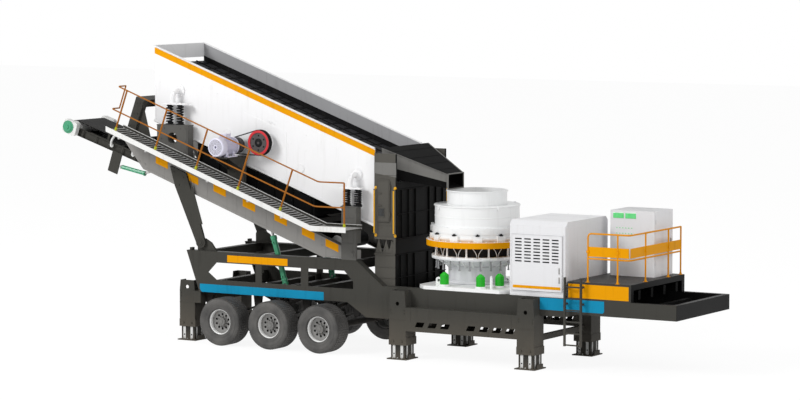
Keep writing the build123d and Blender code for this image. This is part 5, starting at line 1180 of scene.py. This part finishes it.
full_length = (screen_rear, screen_front)
liner_length = (screen_rear + 0.02, screen_front - 0.01)
screen_band = bmesh.new()
screen_strip(screen_band, full_length, (0.05, 0.19), screen_face_y - 0.004, 0.004)
piece(screen_band, "screen_band", orange_paint, twin=True)
screen_trim = bmesh.new()
doubler_low = screen_depth - 0.01
panel(screen_trim, [(-2.86, below_edge(-2.86, doubler_low)), (-1.69, below_edge(-1.69, doubler_low)),
                    (-1.69, 4.885), (-2.86, 5.315)], screen_face_y - 0.006, 0.006)
screen_strip(screen_trim, full_length, (screen_depth - 0.06, screen_depth), screen_face_y - 0.05, 0.008)
screen_strip(screen_trim, full_length, (screen_depth - 0.008, screen_depth), screen_face_y - 0.05, 0.05)
doubler_bolts = ((-2.16, 5.12), (-2.09, 5.1), (-2.02, 5.07), (-2.13, 5.08))
studs(screen_trim, doubler_bolts, screen_face_y - 0.006, 0.014, 0.012)
bolt_xs = [screen_rear + 0.15 + 0.4 * station for station in range(15)]
edge_bolts = [(x, below_edge(x, drop)) for x, drop in every(bolt_xs, (0.44, 0.8))]
studs(screen_trim, edge_bolts, screen_face_y, 0.009, 0.008)
for tube_x in (-4.82, -3.32, -1.32, 0.18):
    tube_end = (tube_x, below_edge(tube_x, tube_drop))
    studs(screen_trim, (tube_end,), screen_face_y, 0.105, 0.012, 32)
    round_studs(screen_trim, tube_end, circle(8, 0.085), screen_face_y - 0.012, 0.009, 0.008)
piece(screen_trim, "screen_trim", screen_white, twin=True)
liners = bmesh.new()
screen_strip(liners, liner_length, (0.016, 0.3), screen_inner_y, 0.003)
piece(liners, "screen_liners", liner_grey, twin=True)
rubber_edges = bmesh.new()
for drops in ((0.3, 0.415), (0.66, 0.775)):
    screen_strip(rubber_edges, liner_length, drops, screen_inner_y, 0.02)
piece(rubber_edges, "screen_rubber_edges", edge_rubber, twin=True)

# Screen decks: two levels of woven wire mesh panels laid on bars, black with wear. Rubber strips across
# and along hold them down.
mesh_black, mesh_shader, mesh_place = surface("mesh_black")
mesh_turned = mapped(mesh_place, Rotation=(0.0, slope_angle, 0.0))
mesh_wires = mesh_place.maths("MAXIMUM", waves(mesh_turned, "X", 9.0), waves(mesh_turned, "Y", 9.0))
mesh_wear = mapped(mesh_place, Scale=(0.6, 3.0, 1.0))
mesh_streaks = noise(mesh_wear, 2.2, 5.0)
mesh_tone = mixed(mesh_streaks, tint(26, 26, 28), tint(74, 74, 78))
feed(mesh_shader, colour=mixed(clamped((mesh_wires - 0.62) * 4.0), tint(10, 10, 10), mesh_tone),
     roughness=mesh_streaks * 0.3 + 0.4, normal=bumps(mesh_wires, 0.7, 0.006), specular=0.15)
dress(mesh_black, "screen_decks")
deck_strips = bmesh.new()
for drop, station in every((0.42, 0.78), range(20)):
    strip_x = screen_rear + 0.18 + 0.3 * station
    screen_strip(deck_strips, about(strip_x, 0.02), (drop - 0.012, drop), screen_face_y + 0.04, 0.96)
for strip_y, strip_width in ((-0.68, 0.04), (-0.35, 0.04), (-0.02, 0.02)):
    screen_strip(deck_strips, (screen_rear + 0.02, screen_front - 0.02), (0.4, 0.42), strip_y, strip_width)
piece(deck_strips, "deck_strips", edge_rubber, twin=True)

# Screen drive: a flat-belt wheel with a red rim on the exciter's shaft, a small dark pulley on the motor,
# and a set of black rubber belts between them.
exciter = (-2.28, 4.64)
motor_x = -2.92
motor_z = 4.56
wheel_face_y = -1.262
pulley_red = sprayed("pulley_red", (206, 62, 68), (120, 30, 34), roughness=0.4)
pulley_grey = sprayed("pulley_grey", (88, 84, 84), (48, 46, 44), roughness=0.5, coat=0.05)
dress(pulley_grey, "exciter_pulley", "motor_pulley")
dress(edge_rubber, "drive_belt")
red_rim = bmesh.new()
turned(red_rim, [(-1.275, 0.232), (-1.275, 0.268), (-1.27, 0.282), (-1.252, 0.2825), (-1.252, 0.225),
                 (-1.27, 0.226)], *exciter)
piece(red_rim, "exciter_red_rim", pulley_red, "exciter", smooth=True)
exciter_hub = bmesh.new()
turned(exciter_hub, [(-1.276, 0.03), (-1.276, 0.06), (-1.266, 0.075), (-1.25, 0.102), (-1.23, 0.102),
                     (-1.23, 0.03)], *exciter, 40)
round_studs(exciter_hub, exciter, circle(6, 0.08), wheel_face_y, 0.01, 0.01)
round_studs(exciter_hub, exciter, circle(6, 0.165, 0.5), wheel_face_y, 0.022, 0.003, 20)
piece(exciter_hub, "exciter_hub", dark_cast_and_shade, "exciter")
wheel_disc = bmesh.new()
turned(wheel_disc, [(wheel_face_y, 0.1), (wheel_face_y, 0.208), (-1.254, 0.2275), (-1.24, 0.2275),
                    (-1.24, 0.1)], *exciter)
piece(wheel_disc, "exciter_disc", pulley_grey, "exciter", smooth=True)
motor_face = bmesh.new()
for groove_y in (-1.262, -1.142):
    turned(motor_face, box_line(about(groove_y, 0.006), (0.14, 0.1798)), motor_x, motor_z)
round_studs(motor_face, (motor_x, motor_z), circle(5, 0.1), -1.216, 0.012, 0.012)
piece(motor_face, "motor_pulley_rims", dark_cast_and_shade, "motor_rotor")

# Screen motor: a finned electric motor on feet, sprayed a pale lavender white, with a ribbed fan cowl, a
# terminal box and a bearing cover. It stands on the shelf of a dark stand.
motor_pale = sprayed("motor_pale", (218, 217, 233), (160, 158, 172), roughness=0.34, mottle=0.05,
                     specular=0.35)
fin_count = 40
shelf_z = 4.325
barrel = box_line((-1.9, -1.42), (0.03, 0.178))
end_cover = [(-1.35, 0.032), (-1.35, 0.075), (-1.365, 0.085), (-1.385, 0.17), (-1.385, 0.206), (-1.43, 0.206),
             (-1.43, 0.032)]
fan_cowl = [(-1.87, 0.03), (-1.87, 0.215), (-2.02, 0.215), (-2.04, 0.205), (-2.049, 0.185), (-2.049, 0.03)]
dress(frame_paint, "motor_stand")
motor_body = bmesh.new()
for profile in (barrel, end_cover, fan_cowl):
    turned(motor_body, profile, motor_x, motor_z, 48)
for k in range(fin_count):
    fin = block(motor_body, (-0.003, 0.003), (-1.865, -1.435), (0.17, 0.207))
    swung(motor_body, fin, 360 * (k + 0.5) / fin_count, (motor_x, 0, motor_z), "Y")
block(motor_body, about(motor_x, 0.09), (-1.76, -1.56), (motor_z + 0.17, motor_z + 0.29), 0.008)
block(motor_body, about(motor_x, 0.095), (-1.765, -1.555), (motor_z + 0.272, motor_z + 0.28), 0.002)
for side in (-1, 1):
    block(motor_body, about(motor_x + side * 0.16, 0.055), (-1.86, -1.48), (shelf_z, shelf_z + 0.025), 0.004)
    for foot_y in (-1.8, -1.54):
        block(motor_body, about(motor_x + side * 0.145, 0.02), about(foot_y, 0.03), (4.34, 4.47), 0.004)
        disc(motor_body, (motor_x + side * 0.19, foot_y, shelf_z + 0.025), up, 0.013, 0.016, 6)
motor_piece = piece(motor_body, "finned_motor", motor_pale)
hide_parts("screen_motor")
# Darker rings on the fan cowl's end: painted shade in its slots.
cowl_lines = bmesh.new()
for radius in (0.06, 0.085, 0.11, 0.135, 0.16):
    turned(cowl_lines, box_line((-2.0498, -2.0485), (radius, radius + 0.009)), motor_x, motor_z, 40)
piece(cowl_lines, "cowl_slots", pulley_grey)
stand_trim = bmesh.new()
for slot_x in (-3.08, -2.76):
    block(stand_trim, about(slot_x, 0.018), (-1.9, -1.3), (shelf_z + 0.0001, shelf_z + 0.005), 0.001)
studs(stand_trim, every((-3.09, -2.92, -2.75), (3.95, 4.2)), -1.24, 0.013, 0.012)
piece(stand_trim, "stand_trim", frame_paint)

# Screen springs: pairs of steel coil springs in black under white plates. A bent white arm rises from
# each plate to a bolted round flange on the screen's side.
spring_line_y = -1.18
spring_wire = 0.0165
spring_coil = 0.073
coil_steps = 104
steps_per_turn = 16
spring_spread = 0.145
arm_y = -1.2
flange_rise = 0.315
spring_groups = ((-4.635, 4.98, 5.44, 0.35), (0.17, 3.31, 3.69, 0.26))
coils = bmesh.new()
seats = bmesh.new()
for group_x, low_z, high_z, plate_half in spring_groups:
    for coil_x in about(group_x, spring_spread):
        points = []
        for k in range(coil_steps + 1):
            turn = 2 * pi * k / steps_per_turn
            climb = (high_z - low_z - 0.03 - 2 * spring_wire) * k / coil_steps
            points.append((coil_x + spring_coil * cos(turn), spring_line_y + spring_coil * sin(turn),
                           low_z + 0.02 + spring_wire + climb))
        add_tube(coils, points, spring_wire)
        disc(coils, (coil_x, spring_line_y, low_z), up, 0.1, 0.02, 28)
        disc(coils, (coil_x, spring_line_y, low_z + 0.02), up, 0.05, 0.06, 20)
        disc(coils, (coil_x, spring_line_y, high_z - 0.07), up, 0.05, 0.07, 20)
        disc(seats, (coil_x, spring_line_y, high_z + 0.03), up, 0.018, 0.016, 6)
    block(seats, about(group_x, plate_half), (-1.285, -1.075), (high_z, high_z + 0.03), 0.003)
    arm_x = group_x - 0.05
    flange_z = high_z + flange_rise
    add_tube(seats, [(arm_x, arm_y, high_z + 0.02), (arm_x, arm_y, high_z + 0.2), (group_x, -1.17, flange_z),
                     (group_x, -1.02, flange_z)], 0.064, 0.09)
    disc(seats, (group_x, screen_face_y, flange_z), out, 0.15, 0.03, 40)
    disc(seats, (group_x, screen_face_y - 0.03, flange_z), out, 0.088, 0.02, 32, top=0.066)
    disc(seats, (arm_x, arm_y, high_z + 0.03), up, 0.095, 0.02, 32, top=0.07)
    round_studs(seats, (group_x, flange_z), circle(8, 0.12, pi / 8), screen_face_y - 0.03, 0.012, 0.012)
spring_piece = piece(coils, "coil_springs", dark_cast_and_shade, smooth=True, twin=True)
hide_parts("screen_springs")
piece(seats, "spring_arms", screen_white, twin=True)

# Spring stands: welded boxes with a round eye on the inclined frame, and square columns on the girders
# with a pin through their feet, in frame grey with bolted edges.
stand_grey = sprayed("stand_grey", (98, 97, 94), (60, 58, 55), roughness=0.45)
dress(stand_grey, "spring_stands")
box_face_y = -1.29
pin = (0.25, 2.23)
stands = bmesh.new()
block(stands, (-5.075, -4.195), (-1.295, -1.065), (4.956, 4.98), 0.003)
turned(stands, [(-1.297, 0.13), (-1.297, 0.15), (box_face_y, 0.154), (box_face_y, 0.13)], -4.635, 4.672, 40)
box_bolts = every((-5.0, -4.86, -4.42, -4.28), (4.9,)) + [(-4.28, 4.6), (-4.28, 4.36), (-4.95, 4.66)]
studs(stands, box_bolts, box_face_y, 0.017, 0.014)
for edge_x in (-4.24, -4.225):
    block(stands, (edge_x, edge_x + 0.005), (box_face_y - 0.004, box_face_y), (4.28, 4.95))
for rib_z in (3.05, 2.6):
    block(stands, (-0.05, 0.335), (box_face_y - 0.006, box_face_y), about(rib_z, 0.008), 0.001)
block(stands, (-0.075, 0.36), (-1.298, -1.08), (3.286, 3.31), 0.003)
studs(stands, every((-0.02, 0.305), (2.55, 2.7, 3.2)), box_face_y, 0.014, 0.012)
studs(stands, (pin,), girder_face, 0.075, 0.012, 32)
studs(stands, (pin,), girder_face - 0.012, 0.038, 0.016, 24)
block(stands, about(pin[0], 0.05), (-1.322, -1.312), (2.285, 2.305), 0.002)
piece(stands, "stand_fittings", stand_grey, twin=True)

# Inclined frame: two deep rimmed plates of folded steel in a middle grey, painted lighter as painted light
# against the walkway's shadow, with a black upper chord, orange marker patches along them, seams, cross bars
# between them and a dark leaning portal at the rear.
chord_x = (-6.05, -0.9)
frame_rear_z = 4.88
slope_face_y = -1.24
patch_half = 0.17
patch_places = ((-4.97, 4.1), (-4.12, 3.76), (-3.36, 3.52), (-2.56, 3.21), (-1.7, 2.93), (-0.96, 2.64),
                (-0.33, 2.41))
portal_x = -5.85
# Painted light: the plates' grey is lighter than their paint, to offset the walkway's shadow on them.
slope_grey = sprayed("slope_grey", (146, 144, 141), (96, 94, 90), roughness=0.45)
dress(slope_grey, "inclined_frame")
dress(frame_paint, "frame_crossbars")


def frame_edge(x, drop):
    """The height of a point on the inclined frame, a distance below its upper edge."""
    return frame_rear_z - (x - chord_x[0]) * slope_rise - drop


chord = bmesh.new()
for upper, lower, chord_y, chord_depth in ((0.0, 0.12, slope_face_y - 0.004, 0.004),
                                           (-0.006, 0.0, slope_face_y, 0.17)):
    low_line = [(x, frame_edge(x, lower)) for x in chord_x]
    high_line = [(x, frame_edge(x, upper)) for x in chord_x[::-1]]
    panel(chord, low_line + high_line, chord_y, chord_depth)
piece(chord, "frame_chord", hood_black, twin=True)
patches = bmesh.new()
fall = patch_half * slope_rise
for patch_x, patch_z in patch_places:
    low_x, high_x = about(patch_x, patch_half)
    panel(patches, [(low_x, patch_z + fall - 0.09), (high_x, patch_z - fall - 0.09),
                    (high_x, patch_z - fall + 0.08), (low_x, patch_z + fall + 0.08)],
          slope_face_y - 0.005, 0.005)
piece(patches, "frame_patches", orange_paint, twin=True)
seams = bmesh.new()
for seam_x in (-4.9, -3.7, -2.9, -2.1, -1.25):
    panel(seams, box_line(about(seam_x, 0.01), (frame_edge(seam_x, 0.74), frame_edge(seam_x, 0.13))),
          slope_face_y - 0.004, 0.004)
panel(seams, [(-5.4, 3.935), (-0.7, 2.225), (-0.7, 2.245), (-5.4, 3.955)], slope_face_y - 0.006, 0.006)
bolt_drops = {-5.6: 0.62, -5.45: 0.62, -0.6: 0.5, -0.45: 0.5, 0.05: 0.5}
lower_bolts = [(x, max(2.28, frame_edge(x, drop))) for x, drop in bolt_drops.items()]
studs(seams, lower_bolts, slope_face_y, 0.016, 0.014)
piece(seams, "frame_seams", slope_grey, twin=True)
portal_trim = bmesh.new()
for height in (0.12, 0.42, 0.68):
    spot = Vector((portal_x, slope_face_y, frame_edge(portal_x, 0))) + slope_up * height
    studs(portal_trim, every(about(spot.x, 0.05), (spot.z,)), slope_face_y, 0.014, 0.012)
piece(portal_trim, "portal_bolts", frame_paint, twin=True)

# Support struts: broad dark steel plates that carry the inclined frame on the trailer, with doublers, bolt
# heads and capped pins at their feet.
dress(frame_paint, "support_struts")
strut_face_y = -1.3
strut_pin = (-3.86, 2.301)
strut_trim = bmesh.new()
panel(strut_trim, [(-4.11, 3.42), (-3.93, 2.72), (-3.79, 2.72), (-4.13, 3.78)], strut_face_y - 0.006, 0.006)
studs(strut_trim, (strut_pin,), strut_face_y, 0.075, 0.012, 32)
studs(strut_trim, (strut_pin,), strut_face_y - 0.012, 0.04, 0.014, 24)
studs(strut_trim, ((-4.33, 3.78), (-4.6, 3.9), (-4.45, 3.6)), strut_face_y, 0.018, 0.014)
piece(strut_trim, "strut_fittings", frame_paint, twin=True)

# Lift cylinders: green hydraulic cylinders beside the struts, with end glands and hose stubs. Their chromed
# rods and both end eyes turn on steel pins.
lift_green = sprayed("lift_green", (79, 160, 122), (40, 92, 70), roughness=0.34, coat=0.3)
cylinder_foot = Vector((-1.73, -1.0, 1.45))
cylinder_head = Vector((-2.27, -1.0, 3.21))
cylinder_line = (cylinder_head - cylinder_foot).normalized()
barrel_end = cylinder_foot + cylinder_line * 1.12
eye_y = (-1.03, -0.97)
cylinders = bmesh.new()
add_tube(cylinders, [cylinder_foot, barrel_end], 0.065)
disc(cylinders, barrel_end - cylinder_line * 0.09, cylinder_line, 0.075, 0.08, 32)
disc(cylinders, cylinder_foot + cylinder_line * 0.07, cylinder_line, 0.074, 0.05, 32)
turned(cylinders, box_line(eye_y, (0.035, 0.066)), cylinder_foot.x, cylinder_foot.z, 32)
for share in (0.14, 0.86):
    port = cylinder_foot.lerp(barrel_end, share)
    disc(cylinders, port + Vector((0, -0.055, 0)), out, 0.02, 0.045, 12)
cylinder_piece = piece(cylinders, "lift_barrels", lift_green, twin=True)
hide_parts("lift_cylinders")
chrome_rods = bmesh.new()
add_tube(chrome_rods, [barrel_end - cylinder_line * 0.02, cylinder_head], 0.03)
turned(chrome_rods, box_line(eye_y, (0.035, 0.064)), cylinder_head.x, cylinder_head.z, 32)
for pin_place in (cylinder_foot, cylinder_head):
    disc(chrome_rods, (pin_place.x, -1.04, pin_place.z), (0, 1, 0), 0.034, 0.08, 24)
piece(chrome_rods, "lift_rods", bare_steel, twin=True)

# Fines hopper: steel plate walls under the screen, black partly in their own dark paint and partly as painted
# shade under the screen. Flat upright stiffeners, black in the same way, are welded on their outer faces.
# Black as the hopper's own dark paint and as painted shade under the screen.
dress(hood_black, "fines_hopper")
hopper_ribs = bmesh.new()
for rib_x in (-4.0 + 0.5 * station for station in range(7)):
    rib_z = (frame_edge(rib_x, -0.02), below_edge(rib_x, 1.79))
    panel(hopper_ribs, box_line(about(rib_x, 0.006), rib_z), -1.06, 0.03)
piece(hopper_ribs, "hopper_ribs", hood_black, twin=True)

# Conveyor: two dark steel channels with a black troughed-edge belt over drums, flat strips and bolts along
# the channels and white curved idler brackets above them. Rollers carry the belt's return run.
belt_angle = radians(18)
head_place = Vector((-7.95, 0.0, 4.79))
belt_line = Vector((cos(belt_angle), 0.0, -sin(belt_angle)))
belt_rise = Vector((sin(belt_angle), 0.0, cos(belt_angle)))
channel_y = 0.66
bracket_distances = (1.2, 1.85, 2.6, 3.4)
bracket_path = ((0.0, -0.02, 0.69), (0.0, 0.1, 0.73), (0.02, 0.22, 0.68), (0.04, 0.26, 0.58))
belt_black, belt_shader, belt_place = surface("belt_black")
belt_scuffs = mapped(belt_place, Scale=(0.7, 5.0, 0.7))
belt_streaks = noise(belt_scuffs, 2.5, 6.0)
feed(belt_shader, colour=mixed(belt_streaks, tint(16, 16, 16), tint(38, 37, 36)), specular=0.12,
     roughness=belt_streaks * 0.2 + 0.55, normal=bumps(noise(belt_place, 120.0), 0.3, 0.002))
dress(belt_black, "conveyor_belt")
dress(frame_paint, "conveyor_frame")
dress(strip_white, "conveyor_drums")


def belt_spot(distance, height, y):
    """A point at a distance from the conveyor's head drum, a height off the drums' line, and a y."""
    return head_place + belt_line * distance + belt_rise * height + Vector((0, y, 0))


def belt_box(shape, distance, height, y):
    """Add a box between two distances from the head, two heights off the drums' line and two y values."""
    for corner in block(shape, distance, y, height):
        corner.co = belt_spot(corner.co.x, corner.co.z, corner.co.y)


def idler_brackets(shape, side):
    """Add the bent brackets along one side of the belt."""
    for distance in bracket_distances:
        path = [belt_spot(distance + ahead, height, side * y) for ahead, height, y in bracket_path]
        add_tube(shape, path, 0.028, 0.06)


edge_strips = bmesh.new()
for start in (0.3 + 0.4 * station for station in range(19)):
    belt_box(edge_strips, (start, start + 0.03), (-0.15, 0.03), (-0.668, -channel_y))
    for bolt_height in (-0.12, 0.0):
        disc(edge_strips, belt_spot(start + 0.2, bolt_height, -channel_y), out, 0.01, 0.01, 6)
belt_box(edge_strips, (0.5, 7.6), (0.03, 0.045), (-0.68, -0.6))
for start in (1.0, 1.9, 2.8, 3.7):
    belt_box(edge_strips, (start, start + 0.06), (0.03, 0.2), (-0.62, -0.605))
piece(edge_strips, "channel_strips", frame_paint, twin=True)
idlers = bmesh.new()
idler_brackets(idlers, -1)
for distance in bracket_distances:
    disc(idlers, belt_spot(distance, -0.02, -channel_y), out, 0.05, 0.02, 20)
for distance in (3.1, 4.0, 5.0, 6.0, 7.0):
    disc(idlers, belt_spot(distance, -0.24, -0.58), (0, 1, 0), 0.045, 1.16, 20)
piece(idlers, "idler_brackets", board_white)
far_idlers = bmesh.new()
idler_brackets(far_idlers, 1)
piece(far_idlers, "far_idler_brackets", board_white)

# Conveyor's head and tail fittings: a pressed green cap over each end of the head shaft, and a short green
# folding cylinder with a steel rod, two eyes and a welded bracket.
cap = belt_spot(-0.04, 0.0, -0.8)
cap_middle = (cap.x, cap.z)
guard_caps = bmesh.new()
disc(guard_caps, cap, out, 0.15, 0.012, 36)
disc(guard_caps, (cap.x, cap.y - 0.012, cap.z), out, 0.13, 0.03, 36, top=0.1)
disc(guard_caps, (cap.x, cap.y - 0.042, cap.z), out, 0.04, 0.02, 20)
round_studs(guard_caps, cap_middle, circle(8, 0.14), cap.y - 0.012, 0.008, 0.008)
piece(guard_caps, "guard_caps", lift_green, twin=True)
fold_start = Vector((-6.48, -0.72, 3.9))
fold_end = Vector((-5.84, -0.72, 3.775))
fold_eye = Vector((-5.48, -0.72, 3.86))
fold_cylinder = bmesh.new()
add_tube(fold_cylinder, [fold_start, fold_end], 0.05)
disc(fold_cylinder, fold_end, fold_end - fold_start, 0.058, 0.03, 24)
piece(fold_cylinder, "fold_cylinder", lift_green, twin=True)
fold_links = bmesh.new()
add_tube(fold_links, [fold_end, fold_eye], 0.024)
for eye, radius, width in ((fold_eye, 0.05, 0.1), (fold_start, 0.045, 0.08)):
    disc(fold_links, eye + Vector((0, -width / 2, 0)), (0, 1, 0), radius, width, 20)
piece(fold_links, "fold_links", bare_steel, twin=True)
fold_bracket = bmesh.new()
belt_box(fold_bracket, (1.28, 1.56), (-0.62, -0.12), (-0.69, -0.665))
piece(fold_bracket, "fold_bracket", frame_paint, twin=True)
